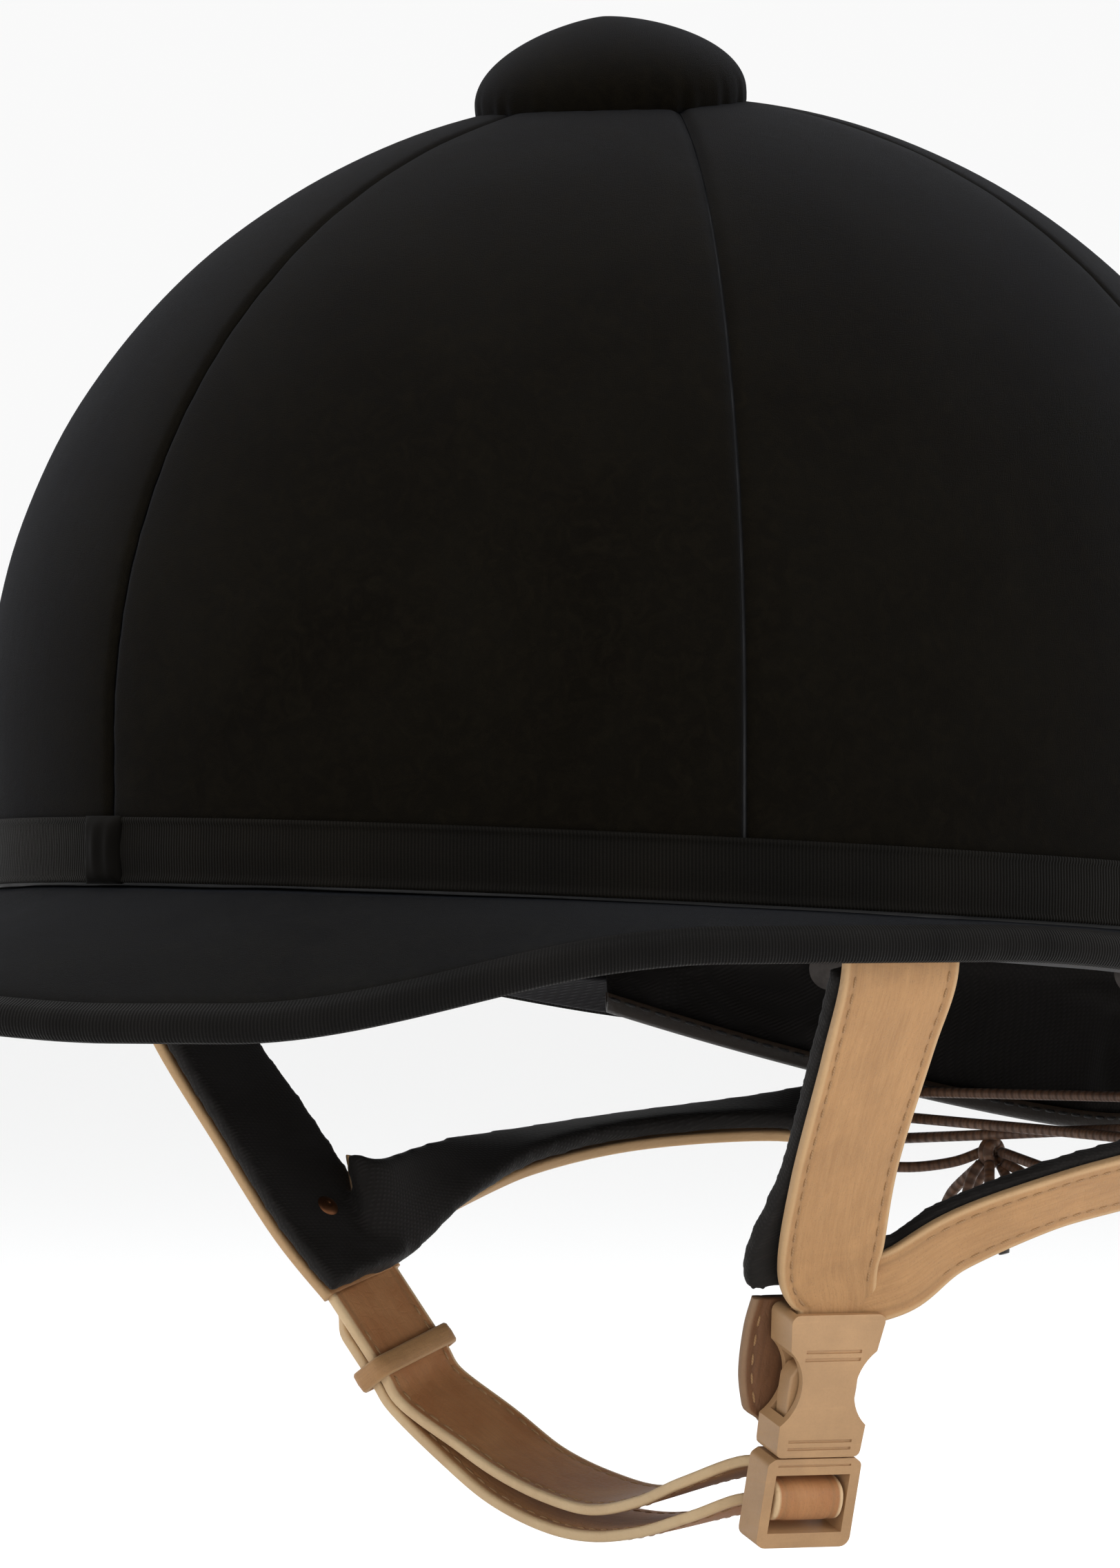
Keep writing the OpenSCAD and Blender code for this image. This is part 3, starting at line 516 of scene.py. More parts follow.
def stage():
    view = math.radians(VIEW)
    toward = Vector((math.sin(view), -math.cos(view), 0))
    aim = Vector((-0.0120, -0.0133, 0.0204))
    camera = bpy.data.cameras.new("camera")
    camera.sensor_fit = "VERTICAL"
    camera.sensor_height = 36
    camera.lens = 317
    camera.clip_end = 50
    o = bpy.data.objects.new("camera", camera)
    o.location = aim + toward * 2.5
    o.rotation_euler = (-toward).to_track_quat("-Z", "Y").to_euler()
    scene.collection.objects.link(o)
    scene.camera = o
    world = bpy.data.worlds.new("studio")
    world.use_nodes = True
    background = world.node_tree.nodes["Background"]
    background.inputs[0].default_value = (1, 1, 1, 1)
    background.inputs[1].default_value = 0.95
    scene.world = world
    scene.view_settings.view_transform = "Standard"
    right = Vector((math.cos(view), math.sin(view), 0))
    light("key", aim - right * 1.1 + toward * 0.9 + Vector((0, 0, 1.1)), aim, 0.9, 9, (1, 0.99, 0.97))
    light("sky", aim + Vector((0, 0, 1.6)) - toward * 0.3, aim, 1.4, 12, (0.93, 0.96, 1))
    light("fill", aim + right * 1.2 + toward * 0.8 + Vector((0, 0, 0.1)), aim, 1.0, 4, (1, 0.97, 0.94))
    paper = Look("paper", Specular_IOR_Level=0.1)
    tooth = paper.noise(paper.place(), 900, 3, 0.6)
    color = paper.blend(paper.spread(tooth, 0.3, 0.7), (0.93, 0.93, 0.93), (0.95, 0.95, 0.95))
    paper.finish(color, paper.spread(tooth, 0.3, 0.7, 0.85, 0.95), paper.bump(tooth, 0.05, 0.1))
    low = cad_box[0][2] / MM - FLOOR_DROP
    w = FLOOR_REACH
    corners = [(-w, -w, low), (w, -w, low), (w, w, low), (-w, w, low)]
    floor = piece("floor", corners, [(0, 1, 2, 3)], flat=True)
    floor.data.materials.append(paper.material)


stage()


# ---------- the dome ----------

def dome_point(turn, rise, r, skirt=0.0):
    """A point of the dome at radius r: turn in degrees from the front towards the wearer's left, rise in
    degrees above its widest level, skirt in mm below that level."""
    t, a = np.radians(turn), np.radians(rise)
    ring = r * np.cos(a)
    return np.stack([SIDE_RATIO * ring * np.sin(t), -ring * np.cos(t),
                     DOME_Z + (DOME_H - COVER_R + r) * np.sin(a) - skirt], -1)


def seam_dip(distance):
    """How far the cover is drawn in at a distance in mm from a seam."""
    return 0.95 * np.exp(-(distance / 1.15) ** 2) + 0.28 * np.exp(-(distance / 5.0) ** 2)


def cover_panel(name, number, node):
    edge = 0.12
    near = np.array([0, 0.25, 0.55, 0.95, 1.5, 2.3, 3.4, 5, 7.5, 11])
    middle = np.linspace(15, 30, 6)
    turns = 60 * number + edge + np.concatenate([near, middle]) * (60 - 2 * edge) / 60
    turns = np.concatenate([turns, 120 * number + 60 - turns[::-1][1:]])
    rises = np.concatenate([np.linspace(0, 80, 56), np.linspace(81.5, 88.5, 5)])
    skirts = np.linspace(1, 0, 14, endpoint=False)
    rows = []
    for low in (False, True):
        grid = []
        for s in skirts:
            p = dome_point(turns, np.zeros_like(turns), COVER_R)
            foot = -2.6 - 0.055 * p[:, 1]
            p[:, 2] = DOME_Z - s * (DOME_Z - foot)
            grid.append(p)
        for rise in rises:
            grid.append(dome_point(turns, np.full_like(turns, rise), COVER_R))
        grid = np.array(grid)
        centre = np.zeros_like(grid)
        centre[..., 2] = np.minimum(grid[..., 2], DOME_Z)
        out = unit((grid - centre) * np.array([1 / SIDE_RATIO, 1, COVER_R / DOME_H]))
        ring = np.hypot(grid[..., 0] / SIDE_RATIO, grid[..., 1])
        gap = np.minimum(turns - turns[0], turns[-1] - turns)[None, :] + edge
        distance = ring * np.radians(gap)
        lift = -1.25 if low else 0.22 - seam_dip(distance)
        if not low:
            pucker = np.sin(grid[..., 2] * 0.9 + number) * np.exp(-(distance / 2.6) ** 2) * 0.07
            lift = lift + 0.09 * ripple(grid, 17, number) + pucker
        rows.append(grid + out * np.broadcast_to(lift, ring.shape)[..., None])
    o = piece(name, *slab_mesh(rows[0], rows[1]))
    return dress(o, velvet, nodes=[node])


for number, side in enumerate(["front_left", "left", "rear_left", "rear_right", "right", "front_right"]):
    cover_panel("velvet_" + side, number, "cover_panel_" + side)


def ring_band(name, radius, section, z_at, nodes, material, step=1.0):
    """A band round the dome: section is a loop of (out, up) in mm, z_at its lower edge at a given y."""
    turns = np.arange(0, 360, step)
    t = np.radians(turns)[:, None]
    out, up = np.asarray(section, float).T
    r = radius + out[None, :]
    y = -radius * np.cos(t)
    p = np.stack([SIDE_RATIO * r * np.sin(t), -r * np.cos(t), z_at(y) + up[None, :] + 0 * t], -1)
    along = np.repeat(turns * math.radians(1) * radius * MM * 0.915, len(section))
    across = np.tile(up * MM, len(turns))
    o = loft(name, p, {"along": along, "across": across}, ring=True)
    return dress(o, material, nodes=nodes)


def band_z(y):
    return -4 - 0.055 * y


ribbon_out = [0.75, 1.0, 1.12, 1.0, 0.82, 0.8, 0.9, 0.95, 0.95, 0.9, 0.8, 0.82, 1.0, 1.12, 1.0, 0.75]
ribbon_up = [0, 0.12, 0.5, 0.95, 1.25, 2, 4, 5, 6.5, 7.5, 9.5, 10.25, 10.55, 11, 11.4, 11.5]
ribbon_section = [(0, 0.2)] + list(zip(ribbon_out, ribbon_up)) + [(0, 11.3), (0, 6)]
ring_band("ribbon", 130.45, ribbon_section, band_z, ["hat_band"], ribbon_black)


def ribbon_knot():
    """The ribbon's flat knot: a wrap over the ribbon, creased and drawn in at its ends."""
    half_w, height = 4.6, 11.9
    columns = np.linspace(-1, 1, 25)
    rows = np.linspace(0, 1, 19)
    x, v = np.meshgrid(columns, rows, indexing="ij")
    pinch = 1 - 0.1 * np.cos(math.pi * (2 * v - 1)) * 0.5
    fold = 0.22 * np.cos(x * 7.5 + 1.4 * np.sin(3 * v)) * np.cos(math.pi * (v - 0.5))
    out = 1.7 * (1 - np.abs(x) ** 5) * (1 - np.abs(2 * v - 1) ** 8) + fold
    y = -(130.45 + 0.9) - out
    z = band_z(-131.0) - 0.25 + height * v
    top = np.stack([x * half_w * pinch, y, z], -1)
    low = np.stack([x * half_w * pinch * 0.97, np.full_like(y, -130.6), z * 0.98 + 0.02 * z.mean()], -1)
    o = joined("ribbon_knot", [slab_mesh(top, low)])
    dress(o, ribbon_black, nodes=["band_knot"])


ribbon_knot()


# ---------- the peak and rolled rim ----------

def folded(turn):
    return np.where(turn > 180, 360 - turn, turn)


def brim_reach(turn):
    return 6 + 39 * np.maximum(0, np.cos(np.radians(turn))) ** 2


def edge_z(turn):
    t = folded(turn)
    return (-11 + 3.5 * smooth((t - 24) / 25) * smooth((135 - t) / 40) - 10 * smooth((57 - t) / 33)
            + 2 * smooth((16 - t) / 16) - 12 * smooth((t - 80) / 55))


def brim_xy(turn, s):
    a = np.radians(turn)
    r = SHELL_R + 0.6
    return (SIDE_RATIO * r + s) * np.sin(a), -(r + s) * np.cos(a)


def brim_surface(turn, f, upper, add):
    """A point of the brim at share f of its reach, on its upper or under face, raised by add."""
    fall = f - 0.07 * np.sin(math.pi * f)
    y_root = -COVER_R * np.cos(np.radians(turn))
    if upper:
        root, tip = -6.0 - 0.055 * y_root, edge_z(turn) + 1.3
    else:
        root, tip = -10.4 - 0.07 * y_root, edge_z(turn) - 1.3
    x, y = brim_xy(turn, f * brim_reach(turn))
    return np.stack([x, y, root + (tip - root) * fall + add], -1)


def brim_cover(name, upper, material, node):
    turns = np.arange(0, 360, 1.5)
    shares = np.concatenate([np.linspace(0, 0.9, 16), [0.94, 0.97, 1.0]])
    t, f = np.meshgrid(turns, shares, indexing="ij")
    sign = 1 if upper else -1
    face = brim_surface(t, f, upper, sign * 1.5)
    back = brim_surface(t, f, upper, sign * 0.6)
    face[..., 2] += sign * 0.12 * ripple(face, 14, 2.0 if upper else 3.0)
    face[..., 2] -= sign * 0.7 * smooth((f - 0.92) / 0.08)
    section = np.concatenate([face, back[:, ::-1]], 1)
    o = loft(name, section, ring=True)
    return dress(o, material, nodes=[node])


brim_cover("peak_velvet", True, velvet_peak_painted_light, "brim_cover_top")
brim_cover("peak_underside", False, velvet_under, "brim_cover_under")


def peak_binding():
    """Bias binding over the peak's edge: a rounded fold whose two edges lap the covers."""
    turns = np.arange(0, 360, 1.0)
    t = np.radians(turns)[:, None]
    x, y = brim_xy(turns, brim_reach(turns) + 0.3)
    upper = [(-1.9, 2.75), (-1.2, 3.15), (-0.2, 3.1), (0.9, 2.7), (1.7, 1.85), (2.15, 0.8)]
    lower = [(out, -up) for out, up in upper[::-1]]
    section = upper + [(2.25, 0)] + lower + [(-1.2, -1.6), (-1.2, 1.6)]
    out, up = np.asarray(section, float).T
    slope = (brim_surface(turns, np.full_like(turns, 1.0), True, 0)[:, 2]
             - brim_surface(turns, np.full_like(turns, 0.96), True, 0)[:, 2])
    slope = slope / (0.04 * brim_reach(turns))
    z = edge_z(turns)[:, None] + up + np.minimum(out, 0) * slope[:, None] * (np.abs(up) > 2)
    waver = 0.07 * np.sin(turns * 1.7)[:, None] + 0.05 * np.sin(turns * 4.3)[:, None]
    p = np.stack([x[:, None] + (out + waver) * np.sin(t), y[:, None] - (out + waver) * np.cos(t), z], -1)
    path = np.stack([x, y, edge_z(turns)], -1)
    along = np.repeat(lengths(path) * MM, len(section))
    across = np.tile(np.linspace(0, 0.012, len(section)), len(turns))
    o = loft("peak_binding", p, {"along": along, "across": across}, ring=True)
    dress(o, binding_look, nodes=["rim_binding"])


peak_binding()


# ---------- stitches ----------

def stitch_mesh(path, out, pitch=3.2, length=2.2, radius=0.2, sink=0.06):
    """Stitches laid along path, with out the way off the surface at each of its points."""
    path, out = np.asarray(path, float), unit(out)
    run = lengths(path)
    count = max(1, int(run[-1] / pitch))
    parts = []
    for i in range(count):
        middle = (i + 0.5) * run[-1] / count
        at = np.array([[np.interp(middle + length * e, run, path[:, k]) for k in range(3)]
                       for e in (-0.5, -0.38, -0.15, 0.15, 0.38, 0.5)])
        normal = unit([np.interp(middle, run, out[:, k]) for k in range(3)])
        t = unit(at[-1] - at[0])
        b = np.cross(t, normal)
        grow = [0.25, 0.85, 1.05, 1.05, 0.85, 0.25]
        drop = [-1.0, -0.3, 0, 0, -0.3, -1.0]
        rings = []
        for p, g, d in zip(at, grow, drop):
            q = p + normal * (radius - sink) * (1 if d == 0 else 1 + d)
            rings.append([q + (b * math.cos(w) * 1.15 + normal * math.sin(w)) * radius * g
                          for w in np.arange(6) * math.pi / 3])
        v = np.array(rings).reshape(-1, 3)
        parts.append((v, tube_faces(len(at), 6)))
    return parts


# ---------- the button ----------

def at_button(p):
    """From the button's own frame to the row frame."""
    seat = DOME_Z + DOME_H * math.sqrt(1 - (12 / COVER_R) ** 2)
    tip = math.radians(6)
    x, y, z = p[..., 0], p[..., 1], p[..., 2]
    return np.stack([x, y * math.cos(tip) - z * math.sin(tip) - 12,
                     y * math.sin(tip) + z * math.cos(tip) + seat], -1)


def dome_height(x, y):
    """Height of the dome's cover above a point of the plan."""
    q = (x / (SIDE_RATIO * COVER_R)) ** 2 + (y / COVER_R) ** 2
    return DOME_Z + DOME_H * np.sqrt(np.maximum(0, 1 - q))


def button():
    """Velvet drawn over a domed core and gathered round its foot."""
    turns = np.radians(np.arange(0, 360, 1.5))
    rise = np.radians(np.concatenate([np.linspace(0, 84, 34), [86.5, 88.8]]))
    r = 24.5 * np.cos(rise) ** 1.3
    z = 14.5 * np.sin(rise)
    foot = [(24.45, -1.2), (24.3, -2.4), (24.0, -3.4), (23.4, -4.4), (22.6, -5.4)]
    r = np.concatenate([[f[0] for f in foot[::-1]], r])
    z = np.concatenate([[f[1] for f in foot[::-1]], z])
    t, k = np.meshgrid(turns, np.arange(len(r)), indexing="ij")
    gather = np.clip(1 - (z + 5) / 9.5, 0, 1) ** 1.5
    folds = np.sin(30 * t + 0.7 * np.sin(5 * t)) + 0.5 * np.sin(47 * t + 1.1)
    rr = r[k] + 0.3 * folds * gather[k] + 0.1 * np.sin(3 * t + 1) * (r[k] / 24.5)
    p = at_button(np.stack([rr * np.sin(t), -rr * np.cos(t), z[k]], -1))
    floor = dome_height(p[..., 0], p[..., 1]) - 0.9
    p[..., 2] = np.maximum(p[..., 2], floor)
    top = p.reshape(-1, 3)
    n, m = p.shape[:2]
    faces = []
    for i in range(n):
        a, b = i * m, ((i + 1) % n) * m
        faces += [(a + j, b + j, b + j + 1, a + j + 1) for j in range(m - 1)]
    pole = at_button(np.array([[0, 0, 14.5]]))
    under = at_button(np.array([[0, 0, 4.0]]))
    v = np.concatenate([top, pole, under])
    for i in range(n):
        a, b = i * m, ((i + 1) % n) * m
        faces.append((a + m - 1, b + m - 1, n * m))
        faces.append((b, a, n * m + 1))
    o = piece("button_velvet", v, faces)
    dress(o, velvet, nodes=["button_cover"])


button()


# ---------- where the buckle sits ----------

BUCKLE = np.array([54.7, -8.8, -72.6])
LEAN = math.radians(18)
TURN = math.radians(14)
BUCKLE_W = 19
BUCKLE_T = 8.0
SOCKET_H = 27
BAR_Z = -36
BUCKLE_ACROSS = (math.sin(TURN), math.cos(TURN), 0)


def on_buckle(p):
    p = np.asarray(p, float)
    x, y, z = p[..., 0], p[..., 1], p[..., 2]
    out = x * math.cos(LEAN) + z * math.sin(LEAN)
    return BUCKLE + np.stack([out * math.cos(TURN) + y * math.sin(TURN),
                              y * math.cos(TURN) - out * math.sin(TURN),
                              z * math.cos(LEAN) - x * math.sin(LEAN)], -1)


# ---------- straps ----------

CREASE = 2.1
STITCH_UP = 0.86


def strap_lines(stations, outward, steps=12):
    c = curve([s[0] for s in stations], steps)
    v = curve([s[1] for s in stations], steps)
    w = curve([s[2] for s in stations], steps)[:, 0]
    t = tangents(c)
    a = unit(v - np.sum(v * t, 1)[:, None] * t)
    n = outward * np.cross(t, a)
    return c, a, n, w


def strap_section(width, low, high):
    """A loop round the strap as (across, height, face, edge, groove), with rounded edges and a creased
    line near each edge of both faces."""
    half = width / 2
    r = min(0.62, (high - low) / 2)
    points = []

    def arc(cx, cz, start):
        for w in (0, 22, 45, 68, 90):
            q = math.radians(start + w)
            points.append((cx + r * math.cos(q), cz + r * math.sin(q), math.sin(q), 1.0, 0.0))

    lines = [half - CREASE + e for e in (1.0, 0.42, 0.0, -0.42, -1.0)]
    xs = [x for x in lines if x > 0.8] + [half * 0.5, half * 0.25, 0.0]
    xs = sorted(set(round(x, 4) for x in xs + [-x for x in xs]), reverse=True)

    def flat(level, side, order):
        for x in order:
            near = abs(abs(x) - (half - CREASE))
            cut = max(0.0, 1 - near / 0.55)
            rise = 0.12 * (1 - (x / half) ** 2) - 0.16 * cut
            edge = max(0.0, 1 - (half - abs(x)) / 0.9)
            points.append((x, level + side * rise, side, edge, cut))

    arc(half - r, high - r, 0)
    flat(high, 1, xs)
    arc(r - half, high - r, 90)
    arc(r - half, low + r, 180)
    flat(low, -1, xs[::-1])
    arc(half - r, low + r, 270)
    return np.array(points)


def strap_piece(name, stations, outward, steps=12, shape=None):
    """A leather strap; shape(share) may give its (low, high, width factor) along it."""
    c, a, n, w = strap_lines(stations, outward, steps)
    share = lengths(c) / lengths(c)[-1]
    rows, info = [], []
    for i in range(len(c)):
        low, high, grow = shape(share[i]) if shape else (-1.0, 1.0, 1.0)
        s = strap_section(w[i] * grow, low, high)
        rows.append(c[i] + s[:, :1] * a[i] + s[:, 1:2] * n[i])
        info.append(np.column_stack([np.full(len(s), lengths(c)[i] * MM), s[:, 0] * MM, s[:, 2:]]))
    info = np.concatenate(info)
    names = ["along", "across", "face", "edge", "groove"]
    return loft(name, np.array(rows), {k: info[:, i] for i, k in enumerate(names)})


def stitch_lines(stations, outward, height, start, end, faces=(1,)):
    """Stitches along both edges of a strap, between two shares of its length."""
    c, a, n, w = strap_lines(stations, outward)
    share = lengths(c) / lengths(c)[-1]
    keep = (share >= start) & (share <= end)
    parts = []
    for side in (1, -1):
        for face in faces:
            path = c + a * (side * (w / 2 - CREASE))[:, None] + n * height * face
            parts += stitch_mesh(path[keep], n[keep] * face)
    return parts


def strap_stitching(name, stations, outward, height, start, end):
    o = joined(name, stitch_lines(stations, outward, height, start, end))
    return dress(o, thread_tan)


TUCK_X = SIDE_RATIO * math.sqrt((INNER_R - 0.25 - 1 - 1.2) ** 2 - 33 ** 2)
left_front = [
    ((TUCK_X, -33, 12), (0.23, 1, 0), 23), ((TUCK_X, -33, 0), (0.23, 1, 0), 23),
    ((TUCK_X, -33, -13), (0.23, 1, 0), 23), ((88, -28.5, -27), (0.18, 1, 0.05), 22.5),
    ((71, -20.5, -48), (0.12, 1, 0.05), 22), ((60.4, -14, -63.6), (0.2, 1, 0), 20.5),
    (tuple(on_buckle([1.3, 0, 2])), BUCKLE_ACROSS, 15.6),
    (tuple(on_buckle([1.3, 0, -4.6])), BUCKLE_ACROSS, 15.6)]
right_front = [
    ((-TUCK_X, -33, 12), (-0.23, 1, 0), 23), ((-TUCK_X, -33, 0), (-0.23, 1, 0), 23),
    ((-TUCK_X, -33, -13), (-0.23, 1, 0), 23), ((-91.5, -33, -26), (-0.15, 1, 0), 22),
    ((-78.5, -28.5, -44), (-0.1, 1, 0.1), 22), ((-66.5, -25, -60), (-0.15, 1, 0.22), 22),
    ((-57.5, -21, -71), (-0.156, 0.947, 0.28), 21)]
left_rear = [
    ((62, 1.6, -67.6), (0.1, -0.3, 1), 12.5), ((66, 12, -60.8), (0.35, 0, 1), 12),
    ((71, 32, -54), (0.5, 0, 1), 11.5), ((70, 60, -49), (0.5, 0.2, 1), 12),
    ((58, 85, -44), (0.3, 0.3, 1), 12), ((41.5, 98.5, -42), (0, 0.1, 1), 15)]
right_rear = [
    ((-63, -12, -58), (-0.1, -0.3, 1), 18), ((-67.5, 5, -53.8), (-0.7, 0, 1), 12.5),
    ((-71, 27, -50.3), (-1, 0, 0.3), 11), ((-71, 56, -46.8), (-1, 0.25, 0.1), 11),
    ((-59, 83, -44), (-0.8, 0.6, 0.35), 12), ((-41.5, 98.5, -42), (0, 0.1, 1), 15)]


def tucked(share):
    """The rear strap is pared thin where it goes under the front one."""
    s = smooth(share / 0.09)
    return -1.15 + 0.15 * s, -0.35 + 1.35 * s, 1.0


left_rear_leather = [((57.8, -6.5, -71), (0.1, -0.35, 1), 12)] + left_rear
right_rear_leather = [((-63.2, -18, -59), (-0.1, -0.3, 1), 23)] + right_rear

for side, stations, outward in (("left", left_front, 1), ("right", right_front, -1)):
    o = strap_piece("front_leather_" + side, stations, outward)
    dress(o, leather, nodes=["front_strap_" + side])
for side, stations, outward in (("left", left_rear_leather, 1), ("right", right_rear_leather, -1)):
    o = strap_piece("rear_leather_" + side, stations, outward, shape=tucked)
    dress(o, leather, nodes=["rear_strap_" + side])
for place, stations, outward, start, end in (
        ("front_left", left_front, 1, 0.22, 0.93), ("front_right", right_front, -1, 0.25, 0.97),
        ("rear_left", left_rear, 1, 0.05, 0.98), ("rear_right", right_rear, -1, 0.05, 0.98)):
    strap_stitching("stitching_" + place, stations, outward, STITCH_UP, start, end)


def strap_solid(stations, outward, low, high, grow, bulge):
    """A plain closed strap as (verts, faces), for joining into a padded shape."""
    c, a, n, w = strap_lines(stations, outward, 8)
    shares = np.array([-1, -0.9, -0.6, -0.3, 0, 0.3, 0.6, 0.9, 1.0])
    rows = []
    for i in range(len(c)):
        half = (w[i] + grow) / 2
        pad = bulge * (1 - shares ** 4)
        top = [c[i] + a[i] * half * s + n[i] * high for s in shares]
        low_row = [c[i] + a[i] * half * s + n[i] * (low - q) for s, q in zip(shares[::-1], pad[::-1])]
        rows.append(top + low_row)
    v = np.array(rows)
    return v.reshape(-1, 3), tube_faces(len(c), v.shape[1])


def padded_lining(name, front, rear, outward, nodes, upper_grow):
    """The Y-shaped padded lining: the two arms are merged, and the corners between them fill out."""
    arms = ((front, 0.6), (rear, upper_grow))
    o = joined(name, [strap_solid(arm, outward, -4.85, -1.35, grow, 0.35) for arm, grow in arms])
    modifier(o, "REMESH", mode="VOXEL", voxel_size=0.0009)
    modifier(o, "SMOOTH", factor=0.5, iterations=14)
    final_mesh(o)
    dress(o, lining_black, nodes=nodes)
    return o


left_tongue = [((59.7, -16.5, -63), (0.2, 1, 0), 25), ((56.5, -15, -69), (0.2, 1, 0), 22)]
padded_lining("lining_left", left_front[2:5] + left_tongue,
              [((60.3, -5, -66.5), (0.1, -0.2, 1), 14)] + left_rear, 1,
              ["front_lining_left", "rear_lining_left"], 1.2)
padded_lining("lining_right", right_front[2:7],
              [((-63.4, -19, -59), (-0.2, -0.3, 1), 23)] + right_rear, -1,
              ["front_lining_right", "rear_lining_right"], 1.0)


def guard():
    stations = [(tuple(on_buckle([x, -2.6, z])), BUCKLE_ACROSS, width)
                for x, z, width in ((-5.9, 0, 20), (-6.3, -6, 21), (-6.3, -15, 20), (-5.9, -23.5, 15))]

    def rounded_end(share):
        return -0.9, 0.9, 1 - 0.35 * smooth((share - 0.86) / 0.14) ** 2

    o = strap_piece("buckle_backing", stations, 1, shape=rounded_end)
    # the guard gets the tan leather darkened as painted shade
    dress(o, guard_leather_shaded, nodes=["buckle_guard"])
    strap_stitching("stitching_guard", stations, 1, 0.78, 0.1, 0.9)


guard()


# ---------- nape ----------

def nape_low(turn):
    return -43 + 24 * (np.abs(turn) / 61) ** 1.6


def nape_point(turn, r, z):
    a = np.radians(turn)
    return np.stack([SIDE_RATIO * r * np.sin(a), r * np.cos(a), z + 0 * a], -1)


NAPE_TOP = -11.2
NAPE_T = 4.0


def nape_radius(f):
    return INNER_R - 1.1 - NAPE_T / 2 - 5 * smooth(f)


# ---------- padded pieces, blown up by cloth simulation ----------

SIM = []


def to_swell(o, hold, cap, material, slot, nodes, fill, poles=()):
    """Lists a pad for the simulation. Its outer grid, its poles and the held inner points stay put."""
    count = hold.size
    pins = o.vertex_groups.new(name="held")
    pins.add(list(range(count)) + list(poles), 1.0, "REPLACE")
    pins.add([count + int(i) for i in np.flatnonzero(hold)], 1.0, "REPLACE")
    SIM.append(dict(o=o, cap=cap, material=material, slot=slot, nodes=nodes, fill=fill))


def pad_piece(name, outer, inner, seams, cap, material, slot, nodes, fill):
    """A pad between two grids. The outer face and the seams stay put; the inner face swells."""
    v, f = slab_mesh(outer, inner)
    o = piece(name, v, f)
    hold = seams.copy()
    hold[[0, -1]] = True
    hold[:, [0, -1]] = True
    to_swell(o, hold, cap, material, slot, nodes, fill)


def run_cloth():
    for job in SIM:
        cloth = modifier(job["o"], "CLOTH")
        s = cloth.settings
        s.quality = 6
        s.mass = 0.12
        s.tension_stiffness = s.compression_stiffness = 12
        s.shear_stiffness = 6
        s.bending_stiffness = 0.4
        s.shrink_min = -0.12
        s.use_pressure = True
        s.uniform_pressure_force = 4.0
        s.vertex_group_mass = "held"
        s.effector_weights.gravity = 0
        cloth.collision_settings.use_collision = False
    for at in range(1, 19):
        scene.frame_set(at)
    for job in SIM:
        o = job["o"]
        before = np.empty(len(o.data.vertices) * 3)
        o.data.vertices.foreach_get("co", before)
        if o.modifiers:
            final_mesh(o)
            after = np.empty_like(before)
            o.data.vertices.foreach_get("co", after)
            shift = (after - before).reshape(-1, 3)
            size = np.linalg.norm(shift, axis=1, keepdims=True)
            limit = job["cap"] * MM
            shift *= np.minimum(1, limit * np.tanh(size / limit) / np.maximum(size, 1e-9))
            o.data.vertices.foreach_set("co", (before.reshape(-1, 3) + shift).ravel())
            o.data.update()
        o.vertex_groups.clear()
        modifier(o, "SUBSURF", levels=1, render_levels=1)
        final_mesh(o)
        dress(o, job["material"], nodes=job["nodes"])
    scene.frame_set(1)


def head_pad(name, middle, width, high, node):
    low, cell, channel = -4.5, 2.6, 15
    columns = int(math.radians(width) * 96 / cell)
    turns = np.linspace(-width / 2, width / 2, columns + 1)
    s = np.linspace(0, 1, 13)
    t, v = np.meshgrid(np.radians(middle + turns), s, indexing="ij")

    def wall(r, trim):
        x, y = SIDE_RATIO * r * np.sin(t), -r * np.cos(t)
        foot = low - 0.035 * y + trim
        return np.stack([x, y, foot + (high - trim - foot) * v], -1)

    outer = wall(PAD_R - 0.2, 0)
    inner = wall(PAD_R - 3.2, 0.8)
    every = max(1, round(channel / cell))
    seams = np.zeros(outer.shape[:2], bool)
    seams[::every, 2:-2] = True
    inner[seams] += (outer[seams] - inner[seams]) * 0.55
    ends = smooth(np.minimum(turns - turns[0], turns[-1] - turns) / 2.0)[:, None, None]
    inner = outer + (inner - outer) * (0.35 + 0.65 * ends)
    pad_piece(name, outer, inner, seams, 1.9, pad_cloth, "pad_fabric", [node], 0.7)


head_pad("brow_padding", 0, 190, 28, "brow_pad")
head_pad("rear_padding", 180, 150, 22, "rear_head_pad")


